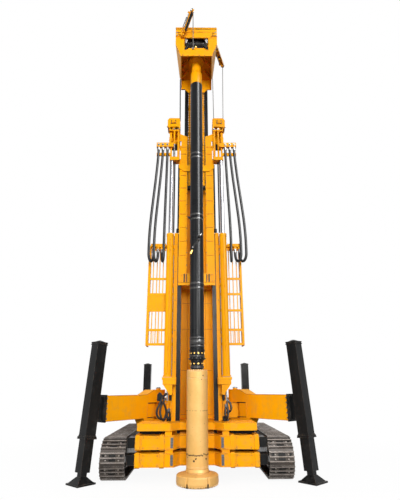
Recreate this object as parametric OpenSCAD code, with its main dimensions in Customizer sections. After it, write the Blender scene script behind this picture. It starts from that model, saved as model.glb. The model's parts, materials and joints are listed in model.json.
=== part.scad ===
// Tracked piling rig with a three-stage telescopic mast and a down-the-hole hammer.
// Millimetres, +Z up. The drill axis is on the front side, towards -Y, and +X is the
// right side of someone who faces the rig's front from outside. The origin is on the
// ground, below the middle of the machine.

/* [Tracks] */
// Width over both tracks
overall_w = 3510; // [3300:10:3700]
// Width of a track shoe
shoe_w = 450; // [400:10:480]
// Height of a track, from the ground to the upper bar tips
track_h = 715; // [680:5:740]
// Distance between the idler's and the sprocket's axles
wheel_base = 2850; // [2700:10:2950]
// Place of the middle of the tracks along the machine
track_y = -215; // [-260:5:-180]
// Shoes in one track
shoe_count = 34; // [30:1:36]
// Height of the bars on a shoe
bar_h = 26; // [18:1:30]
// Thickness of a shoe plate
shoe_t = 14; // [10:1:18]
// Height of the link chain under the shoes
chain_h = 62; // [50:1:75]
// Lower rollers on one side
roller_count = 6; // [4:1:7]

/* [Deck and front beams] */
// Height of the deck's upper face
deck_z = 970; // [960:1:985]
// Thickness of the deck's edge
deck_t = 130; // [110:1:135]
// Width of the deck at the front
deck_w = 2230; // [2200:5:2240]
// Place of the front edge of the deck
deck_front_y = -1895; // [-1905:1:-1885]
// Width of one front beam box
beam_box_w = 640; // [600:5:650]
// Depth of a beam box, front to back
beam_box_d = 390; // [340:5:400]
// Height of the upper beam box
upper_box_h = 235; // [210:1:240]
// Height of the lower beam box
lower_box_h = 228; // [205:1:232]
// Height of the lower box's underside
lower_box_z = 238; // [230:1:250]
// Gap between the lower and the upper box
box_gap = 60; // [50:1:70]
// Half width of the deck's notch for the drill string, at the front
notch_half_w = 493; // [488:1:500]
// Half width of the notch at its end
notch_end_half_w = 327; // [320:1:335]
// Depth of the notch, front to back
notch_depth = 200; // [190:1:215]

/* [Front arms and jacks] */
// Distance of an arm's pivot from the centre plane
arm_pivot_x = 850; // [840:1:860]
// Place of the arm's pivot along the machine
arm_pivot_y = -650; // [-660:1:-640]
// Distance from the arm's pivot to the jack's axis
arm_reach = 1705; // [1690:5:1720]
// Angle of an arm from the sideways direction
arm_angle = 48; // [46:0.5:50]
// Height of the arm's underside
arm_z = 1005; // [1000:1:1015]
// Height of the arm's box section
arm_h = 450; // [420:5:465]
// Width of the arm's box section
arm_w = 300; // [260:5:320]
// Side of the jack's outer tube
jack_tube_w = 215; // [205:1:225]
// Height of the top of a front jack
jack_top_z = 2460; // [2400:5:2500]
// Height of the lower end of a front jack's outer tube
jack_tube_z = 720; // [690:5:750]
// Lean of a front jack, foot outwards
jack_lean = 4; // [3.5:0.1:4.2]
// Side of the jack's inner tube
jack_leg_w = 186; // [176:1:192]
// Side of a jack's foot plate
foot_w = 370; // [330:5:380]
// Rear jack's distance from the centre plane
rear_jack_x = 1490; // [1480:5:1500]
// Place of the rear jacks along the machine
rear_jack_y = 2750; // [2700:5:2800]
// Bore of the towing clevis
tow_bore_d = 45; // [40:1:50]
// Height of the top of a rear jack
rear_jack_top_z = 2270; // [2200:5:2300]

/* [Mast] */
// Place of the mast's front face
mast_front_y = -1400; // [-1410:1:-1390]
// Half width of the lowest stage
base_half_w = 510; // [505:1:515]
// Depth of the lowest stage
base_d = 640; // [600:5:650]
// Height of the top of the lowest stage
base_top_z = 4980; // [4950:5:5000]
// Thickness of the mast's side walls
wall_t = 80; // [60:1:85]
// Height of the lower end of the middle stage
mid_foot_z = 3730; // [3700:5:3760]
// Height of the top of the middle stage's side plates
mid_top_z = 7690; // [7650:5:7700]
// Half width of the middle stage's front plates
mid_half_w = 413; // [405:1:416]
// Half width of the slot between the front plates
mid_slot_half_w = 222; // [215:1:228]
// Height of the lower end of the upper stage
top_foot_z = 6150; // [6050:10:6300]
// Height of the middle stage's sheave boxes
sheave_top_z = 8168; // [8140:1:8180]
// Distance of the lift cylinders from the centre plane
lift_x = 596; // [592:1:600]
// Place of the lift cylinders along the machine
lift_y = -1550; // [-1560:1:-1540]
// Outer diameter of a lift cylinder's barrel
barrel_d = 160; // [150:1:166]
// Diameter of a lift cylinder's rod
rod_d = 95; // [85:1:100]
// Height of the lower end of a lift barrel
barrel_foot_z = 1800; // [1790:1:1820]
// Height of the upper end of a lift barrel
barrel_top_z = 4890; // [4870:1:4892]
// Mast pivot's place along the machine
mast_pivot_y = -620; // [-630:1:-610]
// Mast pivot's height
mast_pivot_z = 1620; // [1600:1:1640]
// Place of the tilt cylinders' feet along the machine
tilt_foot_y = 500; // [480:1:520]
// Height of the tilt cylinders' feet
tilt_foot_z = 700; // [690:1:720]
// Distance of the tilt cylinders from the centre plane
tilt_x = 200; // [190:1:215]
// Place of the tilt rods' eyes along the machine
tilt_eye_y = -470; // [-480:1:-460]
// Height of the tilt rods' eyes
tilt_eye_z = 2020; // [2000:1:2040]
// Diameter of a tilt cylinder's barrel
tilt_barrel_d = 130; // [120:1:140]
// Diameter of a tilt cylinder's rod
tilt_rod_d = 70; // [60:1:80]

/* [Head and drill string] */
// Place of the drill axis along the machine
drill_y = -2110; // [-2115:1:-2105]
// Diameter of the drill pipe
pipe_d = 280; // [270:1:290]
// Diameter of the hammer
hammer_d = 390; // [380:1:400]
// Diameter of the bit
bit_d = 745; // [730:5:750]
// Clearance between the bit and the ground
bit_z = 12; // [10:1:20]
// Height of the hammer's top
hammer_top_z = 1911; // [1890:1:1930]
// Height of the head's top
head_top_z = 9947; // [9900:1:9980]
// Height of the head's front plate
head_front_h = 890; // [870:5:905]
// Distance from the head's top down to the black part of the drill pipe
head_drop = 1377; // [1350:1:1400]
// Place of the head's front face
head_front_y = -2550; // [-2560:5:-2540]
// Width of the head at its top
head_w = 1004; // [990:2:1010]
// Width of the head at its lower edge
head_low_w = 730; // [716:2:740]

/* [Power pack] */
// Width of the engine hood
hood_w = 1500; // [1400:10:1600]
// Length of the engine hood
hood_len = 1750; // [1600:10:1800]
// Height of the engine hood's top
hood_top_z = 1560; // [1500:5:1580]
// Place of the front of the engine hood
hood_front_y = 760; // [720:5:800]
// Thickness of the hood's sheet
sheet_t = 8; // [6:1:12]

/* [Hidden] */
$fn = 48;
gap = 0.3;          // seat between pieces that touch
run = 6;            // clearance of moving pieces
yellow = [0.99, 0.70, 0.03];
black = [0.12, 0.12, 0.12];
steel = [0.62, 0.63, 0.65];

track_r = track_h / 2 - bar_h;                   // radius of the shoe plates' outer face
track_x = overall_w / 2 - shoe_w / 2;            // a track's middle
track_z = track_h / 2;                           // height of the wheels' axles
track_in_x = overall_w / 2 - shoe_w;             // a track's inner edge
chain_r = track_r - shoe_t - chain_h;            // radius that the wheels run on
loop_len = 2 * wheel_base + 2 * PI * track_r;
box_in_x = notch_half_w - 56;                    // the boxes' notch, at the front
lip_h = 16;                                      // edge lips of the boxes
lip_out = 9;
rib_w = 80;
upper_box_z = lower_box_z + lower_box_h + box_gap;
box_out_x = notch_half_w + 10 + beam_box_w;      // outer end of a beam box
deck_low_z = deck_z - deck_t;
base_back_y = mast_front_y + base_d;
lean_z = arm_z + arm_h / 2;                      // height at which the lean is measured
root_r = 560;                                    // radius of an arm's low root
arm_root_z = 800;                                // underside of an arm's root
prong_gap_z0 = 975;                              // slot of the arm's fork
prong_gap_z1 = 1290;
tilt_len = norm([tilt_eye_y - tilt_foot_y, tilt_eye_z - tilt_foot_z]);
tilt_angle = atan2(tilt_eye_z - tilt_foot_z, tilt_eye_y - tilt_foot_y);
tilt_stroke = 590;                               // rod's travel, mast upright to lying
tilt_barrel_len = tilt_len - tilt_stroke - 80;
hose_y = lift_y - 60;                            // plane of the hoses' front strands
hose_back = 130;                                 // from the front strands to the back ones
hose_low_z = 4246;                               // height of the loops' lowest points
hose_top_z = 7150;                               // underside of the hose manifold
low_clip_z = 4600;                               // underside of the lower clips' plate
hoses_x = [[706, 732, 780], [817, 950, 872], [922, 1065, 970]];  // top, bulge, lower clip
hose_clip_r = 36;                                // sockets at the hoses' ends
cage_y = mast_front_y + 60;                      // front faces of the cages
cage_foot_z = 2440;
cage_top_z = 4690;
cage_rails = [0, 300, 720, 1082, 1432];          // cross rails, from the cage's foot
left_posts = [1041, 966, 884, 821, 745];         // inner edges of the uprights, outermost first
right_posts = [975, 890, 805, 720];
sheave_foot_z = sheave_top_z - 718;              // lower end of the sheave boxes
sheave_box_x = 734;                              // outer side of a sheave box
sheave_neck_x = sheave_box_x - 62;               // outer side of its narrower lower part
sheave_wall = 16;
door_hinge_z = hood_top_z - 60;
anchor_z = 6800;                                 // underside of the rods' upper anchor
anchor_h = 92;
anchor_out_x = lift_x + 54;                      // outer end of the anchor, clear of the hoses
rod_foot_z = 4450;                               // lower end of the lift rods
rib_pitch = 343;                                 // of the middle stage's ribs
head_front_z = head_top_z - head_front_h;        // lower edge of the head's front plate
pipe_top_z = head_top_z - head_drop;
drive_z = head_top_z - 560;                      // underside of the drive's hanger plate
winch_y = head_front_y + 260;
winch_z = head_top_z - 235;
winch_r = 190;                                   // radius of the drum's flanges
jib_z = head_top_z - 267;                        // height of the jibs' pins
jib_left_at = [-330, head_front_y - 70];
jib_right_at = [430, head_front_y + 380];
jib_root = 80;                                   // from a jib's pin to the end of its root
jib_left_reach = 473;                            // from there to the tip sheave
jib_right_reach = 860;
foot_t = 28;
rear_foot_w = 300;
rear_tube_w = 212;                               // side of a rear jack's outer tube
rear_leg_w = 180;                                // side of a rear jack's inner tube
rear_tube_z = 600;                               // lower end of a rear jack's outer tube
rear_beam_z = 620;                               // rear cross beam
rear_beam_h = 240;
rear_beam_back = 130;                            // its back face, from the jacks' middle
tow_z = rear_beam_z + rear_beam_h / 2;           // bore of the towing clevis
lash_z = tow_z + 85;                             // bores of the lashing eyes, above a pin in the clevis
eye_out = 60;                                    // from the beam's back face to a bore
eye_r = 50;
lash_x = 900;                                    // the lashing eyes' places

// A box from its lowest and highest corners.
module block(a, b) {
    translate(a) cube([b[0] - a[0], b[1] - a[1], b[2] - a[2]]);
}

// The same shape on both sides of the centre plane.
module both_sides() {
    children();
    mirror([1, 0, 0]) children();
}

// Outline of the track's path at a radius, with the axles' height as zero.
module stadium(r) {
    translate([-wheel_base / 2, -r]) square([wheel_base, 2 * r]);
    for (s = [-1, 1]) translate([s * wheel_base / 2, 0]) circle(r);
}

// A point at the distance s along the track's path and h above its surface.
function on_loop(s, h) =
    let (half = wheel_base / 2, arc = PI * track_r, r = track_r + h)
    s < wheel_base ? [-half + s, -r] :
    s < wheel_base + arc ?
        let (a = (s - wheel_base) / track_r * 180 / PI)
        [half + r * sin(a), -r * cos(a)] :
    s < 2 * wheel_base + arc ? [half - (s - wheel_base - arc), r] :
        let (a = (s - 2 * wheel_base - arc) / track_r * 180 / PI)
        [-half - r * sin(a), r * cos(a)];

// Outline of the shoes with three bars each.
module shoe_outline() {
    pitch = loop_len / shoe_count;
    polygon([
        for (i = [0:shoe_count - 1], b = [1, 3, 5])
            let (s = (i + b / 6) * pitch)
            each [on_loop(s - 13, 0), on_loop(s - 7, bar_h),
                  on_loop(s + 7, bar_h), on_loop(s + 13, 0)]
    ]);
}

// Turns an outline of lengths (Y) and heights (Z) into a plate across the machine.
module across(x0, x1) {
    translate([x0, 0, 0]) rotate([90, 0, 90]) linear_extrude(x1 - x0) children();
}

module track(side) {
    color([0.28, 0.25, 0.23]) scale_side(side) translate([track_x, track_y, track_z]) {
        across(-shoe_w / 2, shoe_w / 2) difference() {
            shoe_outline();
            stadium(track_r - shoe_t);
        }
        for (x = [-72, 32]) across(x, x + 40) difference() {
            stadium(track_r - shoe_t + 3);
            stadium(chain_r);
        }
    }
}

// Left is -X: the shapes are drawn on the right side and mirrored.
module scale_side(side) {
    if (side < 0) mirror([1, 0, 0]) children();
    else children();
}

module side_frame(side) {
    half = wheel_base / 2;
    cheek_x = track_in_x - 20;
    color(black) scale_side(side) {
        // box beam between the wheels
        translate([track_x, track_y, track_z]) {
            block([-80, -half + chain_r + 30, -95], [80, half - chain_r - 25, 105]);
            // guard cheeks on the rollers' sides
            for (s = [-1, 1])
                block([s * 88 - 8, -half + chain_r * 0.9, -165],
                      [s * 88 + 8, half - chain_r - 60, -60]);
            // idler fork
            for (s = [-1, 1])
                across(s * 88 - 8, s * 88 + 8) difference() {
                    union() {
                        translate([-half, -60]) square([chain_r + 90, 120]);
                        translate([-half, 0]) circle(60);
                    }
                    translate([-half, 0]) circle(30.3);
                }
            // final drive at the sprocket
            translate([-80, half, 0]) rotate([0, 90, 0]) cylinder(h = 58 - gap, r = 95);
            translate([-80, half - chain_r - 30, -90]) cube([30, chain_r + 20, 180]);
        }
        // inner beam ends that slide in the boxes
        for (y = [deck_front_y + 45, 1000])
            for (z = [lower_box_z, upper_box_z])
                block([notch_half_w + 290, y, z + 26],
                      [cheek_x, y + beam_box_d - 90, z + lower_box_h - 26]);
        // cheek plate that carries the beams
        block([cheek_x - 1, deck_front_y + 25, lower_box_z + 6],
              [cheek_x + 13, track_y + half - 60, upper_box_z + upper_box_h - 6]);
        block([cheek_x + 12, track_y - 700, track_z - 80],
              [track_x - 79, track_y + 700, track_z + 90]);
    }
}

// Outline of the sprocket's teeth.
module sprocket_outline() {
    teeth = 13;
    polygon([for (i = [0:teeth - 1]) let (a = 360 / teeth)
        each [(chain_r - 2) * [cos((i - 0.16) * a), sin((i - 0.16) * a)],
              (chain_r - 2) * [cos((i + 0.16) * a), sin((i + 0.16) * a)],
              (chain_r - 32) * [cos((i + 0.32) * a), sin((i + 0.32) * a)],
              (chain_r - 32) * [cos((i + 0.68) * a), sin((i + 0.68) * a)]]]);
}

module wheels(side) {
    half = wheel_base / 2;
    color([0.2, 0.19, 0.18]) scale_side(side) translate([track_x, track_y, track_z]) {
        // idler with its raised middle rim and axle
        translate([0, -half, 0]) rotate([0, 90, 0]) {
            rotate_extrude() polygon([[0, -70], [70, -70], [80, -40], [chain_r - 60, -30],
                [chain_r - 45, -72], [chain_r - gap, -72], [chain_r - gap, -30],
                [chain_r + 14, -24], [chain_r + 14, 24], [chain_r - gap, 30],
                [chain_r - gap, 72], [chain_r - 45, 72], [chain_r - 60, 30], [80, 40],
                [70, 70], [0, 70]]);
            cylinder(h = 220, r = 30, center = true);
        }
        // sprocket
        translate([0, half, 0]) rotate([0, 90, 0]) difference() {
            union() {
                translate([0, 0, -22]) linear_extrude(44) sprocket_outline();
                translate([0, 0, 15.3]) cylinder(h = 60, r1 = 150, r2 = 110);
            }
        }
        // lower rollers between the cheeks
        for (i = [0:roller_count - 1])
            translate([0, -half + chain_r + 170 + i * (wheel_base - 2 * chain_r - 320)
                       / (roller_count - 1), -chain_r + 62 + gap])
                rotate([0, 90, 0]) rotate_extrude() polygon([[0, -79.5], [34, -79.5],
                    [34, -73], [62, -73], [62, -31], [48, -28], [48, 28], [62, 31],
                    [62, 73], [34, 73], [34, 79.5], [0, 79.5]]);
        // upper roller
        translate([0, 0, chain_r - 42 - gap]) rotate([0, 90, 0])
            cylinder(h = 150, r = 42, center = true);
        block([-14, -14, 105 + gap], [14, 14, chain_r - 42]);
    }
}

// An upright plate behind the rear cross beam, from x over the thickness t, with its bore at
// the height z.
module rear_eye(x, t, z) {
    beam_back_y = rear_jack_y + rear_beam_back;
    across(x, x + t) difference() {
        union() {
            translate([beam_back_y + eye_out, z]) circle(eye_r);
            translate([beam_back_y - 1, z - eye_r]) square([eye_out + 1, 2 * eye_r]);
        }
        translate([beam_back_y + eye_out, z]) circle(tow_bore_d / 2);
    }
}

module main_frame() {
    color(yellow) {
        // two longitudinals
        both_sides() difference() {
            block([390, -1400, 420], [520, 2700, deck_low_z - gap]);
            block([398, -1401, 440], [512, 2701, deck_low_z - 20]);
        }
        // cross tubes, each seated between the longitudinals
        for (y = [-600, 900, 1900])
            block([-390 + gap, y, 480], [390 - gap, y + 120, 800]);
        // lugs of the tilt cylinders' feet, on a bar between the longitudinals
        block([-390 + gap, tilt_foot_y - 60, tilt_foot_z - 190],
              [390 - gap, tilt_foot_y + 60, tilt_foot_z - 110]);
        both_sides() for (x = [tilt_x - 60, tilt_x + 40]) across(x, x + 20) difference() {
            union() {
                translate([tilt_foot_y, tilt_foot_z]) circle(60);
                translate([tilt_foot_y - 60, tilt_foot_z - 120]) square([120, 120]);
            }
            translate([tilt_foot_y, tilt_foot_z]) circle(32.05);
        }
        // rear beam boxes around the sliding beams
        both_sides() for (z = [lower_box_z, upper_box_z]) difference() {
            block([520 + gap, 1000 - 45, z], [box_out_x, 1000 - 45 + beam_box_d, z + lower_box_h]);
            block([600, 1000 - gap, z + 26 - gap],
                  [box_out_x + 1, 1000 + beam_box_d - 90 + gap, z + lower_box_h - 26 + gap]);
        }
        // rear cross beam with the jacks' seats
        block([-rear_jack_x + rear_tube_w / 2 + gap, rear_jack_y - 50 + gap, rear_beam_z],
              [rear_jack_x - rear_tube_w / 2 - gap, rear_jack_y + rear_beam_back,
               rear_beam_z + rear_beam_h]);
        // towing clevis of two plates, and a lashing eye near each end of the beam
        for (x = [-50, 30]) rear_eye(x, 20, tow_z);
        both_sides() rear_eye(lash_x, 30, lash_z);
        // rear platform, with an opening for the tilt cylinders
        difference() {
            block([-1115, -100, deck_low_z], [1115, rear_jack_y - 130 - gap, deck_low_z + 40]);
            block([-320, -101, deck_low_z - 1], [320, 700, deck_low_z + 41]);
        }
        // skirts below the platform's sides
        both_sides() block([1100, -100, deck_low_z - 90],
                           [1115, rear_jack_y - 130 - gap, deck_low_z - gap]);
    }
}

// Outline seen from above of a box or deck with its notch for the drill string in front.
// half_w is the outline's half width, in_x the notch's at the front, and out how far the
// outline's front edges stand proud.
module notched(half_w, in_x, front_y, back_y, out) {
    end_x = notch_end_half_w - out / 2;
    end_y = deck_front_y + notch_depth - out;
    polygon([[-half_w, front_y - out], [-in_x + out, front_y - out], [-end_x, end_y],
             [end_x, end_y], [in_x - out, front_y - out], [half_w, front_y - out],
             [half_w, back_y], [-half_w, back_y]]);
}

module front_beams() {
    beam_y0 = deck_front_y + 10;
    beam_y1 = deck_front_y + beam_box_d;
    color(yellow) for (k = [0, 1]) {
        z = k == 0 ? lower_box_z : upper_box_z;
        h = k == 0 ? lower_box_h : upper_box_h;
        difference() {
            union() {
                translate([0, 0, z + lip_h / 2]) linear_extrude(h - lip_h)
                    notched(box_out_x, box_in_x, beam_y0, beam_y1, 0);
                // lips along the upper and the lower edge
                for (e = [z, z + h - lip_h]) translate([0, 0, e]) linear_extrude(lip_h)
                    notched(box_out_x, box_in_x, beam_y0, beam_y1, lip_out);
                // rib flanges with cut corners
                both_sides() for (x = [box_out_x - 91, box_in_x + 170]) across(x, x + rib_w)
                    polygon([[beam_y0 - 26, z + 8], [beam_y0 - 6, z - 14], [beam_y1 + 10, z - 14],
                             [beam_y1 + 10, z + h + 14], [beam_y0 - 6, z + h + 14],
                             [beam_y0 - 26, z + h - 8]]);
            }
            // the box is open to the outside for the sliding beam
            both_sides() block([box_in_x + 210, deck_front_y + 45 - gap, z + 26 - gap],
                  [box_out_x + 21, beam_y1 - 45 + gap, z + lower_box_h - 26 + gap]);
            // sunk panel between the ribs
            both_sides() block([box_in_x + 170 + rib_w + 30, beam_y0 - 1, z + 45],
                               [box_out_x - 121, beam_y0 + 5, z + h - 45]);
        }
    }
    color(yellow) both_sides() {
        // spine between the two boxes and the longitudinals
        block([391, beam_y1 + gap, lower_box_z + 40], [519, -1400 - gap, deck_low_z - 30]);
        // saddle between the boxes and the deck
        block([box_in_x + 32, beam_y0 + 20, upper_box_z + upper_box_h + gap],
              [box_in_x + 160, beam_y1 - 20, deck_low_z - gap]);
        // saddle between the lower and the upper box
        block([box_in_x + 10, beam_y0 + 20, lower_box_z + lower_box_h + gap],
              [box_in_x + 160, beam_y1 - 20, upper_box_z - gap]);
    }
}

module deck() {
    back_y = arm_pivot_y - root_r - 20;
    color(yellow) {
        translate([0, 0, deck_low_z]) linear_extrude(deck_t)
            notched(deck_w / 2, notch_half_w, deck_front_y, back_y, 0);
        // lip along the lower edge
        translate([0, 0, deck_low_z]) linear_extrude(22)
            notched(deck_w / 2, notch_half_w, deck_front_y, back_y, lip_out);
        block([-660, back_y - 1, deck_low_z], [660, -400, deck_z]);
        // pivot blocks of the arms, with their pins
        both_sides() {
            block([620 + gap, arm_pivot_y - 150, prong_gap_z0 + 10],
                  [arm_pivot_x + 150, arm_pivot_y + 150, prong_gap_z1 - 10]);
            block([620 + gap, arm_pivot_y - 150, deck_z - 1],
                  [arm_pivot_x - arm_w / 2 - 10, arm_pivot_y + 150, prong_gap_z0 + 11]);
            translate([arm_pivot_x, arm_pivot_y, arm_root_z])
                cylinder(h = arm_z + arm_h + 125 - arm_root_z, r = 50);
        }
    }
}

module wear_plates() {
    plate_h = lower_box_h - 2 * lip_h - 20;
    color(steel) both_sides()
        for (z = [lower_box_z, upper_box_z]) {
            block([box_in_x + 6, deck_front_y, z + lip_h + 10],
                  [box_in_x + 54, deck_front_y + 10 - gap, z + lip_h + 10 + plate_h]);
            // bolt heads
            for (e = [30, plate_h - 30])
                translate([box_in_x + 30, deck_front_y + 1, z + lip_h + 10 + e])
                    rotate([90, 0, 0]) cylinder(h = 12, r = 13, $fn = 6);
        }
}

// Brackets on the deck that carry the mast's pivot and the tilt cylinders.
module mast_stand() {
    color(yellow) both_sides() {
        across(560, 620) difference() {
            polygon([[-1000, deck_z + gap], [-400, deck_z + gap],
                     [mast_pivot_y + 110, mast_pivot_z + 40],
                     [mast_pivot_y + 60, mast_pivot_z + 110],
                     [mast_pivot_y - 60, mast_pivot_z + 110],
                     [mast_pivot_y - 110, mast_pivot_z]]);
            translate([mast_pivot_y, mast_pivot_z]) circle(45.05);
        }
    }
}

module engine_block() {
    color([0.3, 0.3, 0.3]) block([-380, hood_front_y + 220, deck_low_z + 40 + gap],
                                 [380, hood_front_y + 1350, hood_top_z - 130]);
}

module hood() {
    z0 = deck_low_z + 40 + gap;
    color(yellow) difference() {
        block([-hood_w / 2, hood_front_y, z0],
              [hood_w / 2, hood_front_y + hood_len, hood_top_z]);
        block([-hood_w / 2 + sheet_t, hood_front_y + sheet_t, z0 - 1],
              [hood_w / 2 - sheet_t, hood_front_y + hood_len - sheet_t,
               hood_top_z - sheet_t]);
        // doorways on both sides
        block([-hood_w, hood_front_y + 150, z0 + 60],
              [hood_w, hood_front_y + 1250, hood_top_z - 90]);
        // opening for the radiator
        block([-500, hood_front_y + hood_len - 100, z0 + 80],
              [500, hood_front_y + hood_len + 1, hood_top_z - 90]);
        // air slots in the roof
        for (i = [0:7]) block([-450, hood_front_y + 900 + i * 70, hood_top_z - 20],
                              [-80, hood_front_y + 925 + i * 70, hood_top_z + 1]);
    }
    // raised rims over the air slots
    color(yellow) for (i = [0:7]) block([-460, hood_front_y + 926 + i * 70, hood_top_z - 1],
                                        [-70, hood_front_y + 934 + i * 70, hood_top_z + 22]);
    // exhaust silencer with a short outlet on the roof
    color(yellow) {
        for (y = [hood_front_y + 480, hood_front_y + 900])
            block([230, y, hood_top_z - 1], [330, y + 30, hood_top_z + 40]);
        translate([280, hood_front_y + 400, hood_top_z + 95]) rotate([-90, 0, 0])
            cylinder(h = 620, r = 75);
        translate([280, hood_front_y + 950, hood_top_z + 100]) cylinder(h = 85, r = 38);
    }
    // hinge pins of the doors, in lugs on the hood's sides
    color(yellow) both_sides() for (y = [hood_front_y + 250, hood_front_y + 1050]) {
        for (e = [y, y + 90])
            block([hood_w / 2 - 1, e, door_hinge_z - 12], [hood_w / 2 + 32, e + 10,
                   door_hinge_z + 20]);
        translate([hood_w / 2 + 20, y, door_hinge_z]) rotate([-90, 0, 0])
            cylinder(h = 100, r = 8);
    }
}

module door(side) {
    z0 = deck_low_z + 40 + gap;
    face_x = hood_w / 2 + 10;
    color(yellow) scale_side(side) difference() {
        union() {
            block([hood_w / 2 + gap, hood_front_y + 130, z0 + 40],
                  [face_x, hood_front_y + 1270, door_hinge_z - 30]);
            block([hood_w / 2 + gap, hood_front_y + 262, door_hinge_z - 31],
                  [face_x, hood_front_y + 328, door_hinge_z - 10]);
            block([hood_w / 2 + gap, hood_front_y + 1062, door_hinge_z - 31],
                  [face_x, hood_front_y + 1128, door_hinge_z - 10]);
            for (y = [hood_front_y + 262, hood_front_y + 1062])
                translate([hood_w / 2 + 20, y, door_hinge_z]) rotate([-90, 0, 0])
                    cylinder(h = 66, r = 15);
            // louvres
            for (i = [0:6]) translate([0, hood_front_y + 250, z0 + 110 + i * 45])
                rotate([-90, 0, 0]) linear_extrude(560)
                    polygon([[face_x - 1, 0], [face_x + 14, 0], [face_x - 1, -30]]);
            // latch
            block([face_x - 1, hood_front_y + 1120, z0 + 90],
                  [face_x + 18, hood_front_y + 1180, z0 + 130]);
        }
        for (y = [hood_front_y + 261, hood_front_y + 1061])
            translate([hood_w / 2 + 20, y, door_hinge_z]) rotate([-90, 0, 0])
                cylinder(h = 68, r = 8.05);
    }
}

module tank(x0) {
    tank_w = 540;
    tank_z = deck_low_z + 40 + gap;
    translate([x0, 20, tank_z]) rotate([90, 0, 90]) linear_extrude(tank_w)
        offset(60) offset(-60) square([700, 480]);
    // straps and filler cap
    for (x = [x0 + 90, x0 + 410]) block([x, 12, tank_z + 60], [x + 40, 24, tank_z + 420]);
    translate([x0 + tank_w / 2, 200, tank_z + 479]) cylinder(h = 36, r = 48);
}

module radiator() {
    z0 = deck_low_z + 40 + gap;
    y1 = hood_front_y + hood_len;
    color(black) {
        difference() {
            block([-500 + gap, y1 - 52, z0 + 80 + gap],
                  [500 - gap, y1 - 1, hood_top_z - 90 - gap]);
            block([-470, y1 - 53, z0 + 110], [470, y1, hood_top_z - 120]);
        }
        for (z = [z0 + 140 : 45 : hood_top_z - 140])
            block([-471, y1 - 50, z], [471, y1 - 20, z + 10]);
    }
}

module fuel_tank() {
    color(yellow) tank(560);
}

module oil_tank() {
    color(yellow) tank(-1100);
}

module rear_tubes() {
    w = rear_tube_w / 2;
    l = rear_leg_w / 2 + gap;
    color(black) both_sides() translate([rear_jack_x, rear_jack_y, 0]) difference() {
        union() {
            block([-w, -w, rear_tube_z], [w, w, rear_jack_top_z]);
            block([-w - 6, -w - 6, rear_jack_top_z - 24], [w + 6, w + 6, rear_jack_top_z]);
            block([-w - 14, -w - 14, rear_tube_z], [w + 14, w + 14, rear_tube_z + 18]);
            hull() {
                block([-w + 12, -w + 12, rear_jack_top_z - 1], [w - 12, w - 12, rear_jack_top_z]);
                block([-20, -20, rear_jack_top_z + 24], [20, 20, rear_jack_top_z + 28]);
            }
        }
        block([-w + 10, -w + 10, rear_tube_z + 60], [w - 10, w - 10, rear_jack_top_z - 20]);
        block([-l, -l, rear_tube_z - 1], [l, l, rear_tube_z + 61]);
    }
}

module foot(w, h) {
    translate([0, 0, 0]) block([-w / 2, -w / 2, 0], [w / 2, w / 2, foot_t]);
    hull() {
        block([-w / 2 + 25, -w / 2 + 25, foot_t - 1], [w / 2 - 25, w / 2 - 25, foot_t]);
        block([-62, -62, h - 1], [62, 62, h]);
    }
}

module rear_leg(side) {
    color(black) scale_side(side) translate([rear_jack_x, rear_jack_y, 0]) {
        foot(rear_foot_w, 120);
        block([-60, -60, 119], [60, 60, 190]);
        w = rear_leg_w / 2;
        block([-w, -w, 189], [w, w, 1500]);
    }
}

// Puts a shape that is drawn along +X from the pivot into the arm's direction.
module at_arm(side) {
    scale_side(side) translate([arm_pivot_x, arm_pivot_y, 0]) rotate([0, 0, -arm_angle])
        children();
}

// Leans a jack about its middle, foot outwards.
module leaned() {
    translate([arm_reach, 0, lean_z]) rotate([0, -jack_lean, 0]) translate([0, 0, -lean_z])
        children();
}

module arm(side) {
    top_z = arm_z + arm_h + 100;
    color(yellow) at_arm(side) {
        difference() {
            union() {
                // box section with its deep root
                rotate([90, 0, 0]) translate([0, 0, -arm_w / 2]) linear_extrude(arm_w)
                    polygon([[235, arm_root_z], [410, arm_root_z], [root_r - 30, arm_z],
                             [1450, arm_z], [1450, arm_z + arm_h], [470, arm_z + arm_h],
                             [260, top_z], [235, top_z]]);
                // fork round the pivot block
                for (z = [[arm_root_z, prong_gap_z0], [prong_gap_z1, top_z]]) {
                    translate([0, 0, z[0]]) cylinder(h = z[1] - z[0], r = arm_w / 2);
                    block([0, -arm_w / 2, z[0]], [236, arm_w / 2, z[1]]);
                }
            }
            translate([0, 0, arm_root_z - 1]) cylinder(h = 1000, r = 50.05);
            // hollow box section
            rotate([90, 0, 0]) translate([0, 0, -arm_w / 2 + 12]) linear_extrude(arm_w - 24)
                polygon([[root_r, arm_z + 12], [1438, arm_z + 12],
                         [1438, arm_z + arm_h - 12], [root_r, arm_z + arm_h - 12]]);
        }
        block([1449, -arm_w / 2 - 12, arm_z - 8], [1475, arm_w / 2 + 12, arm_z + arm_h + 8]);
    }
}

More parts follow.
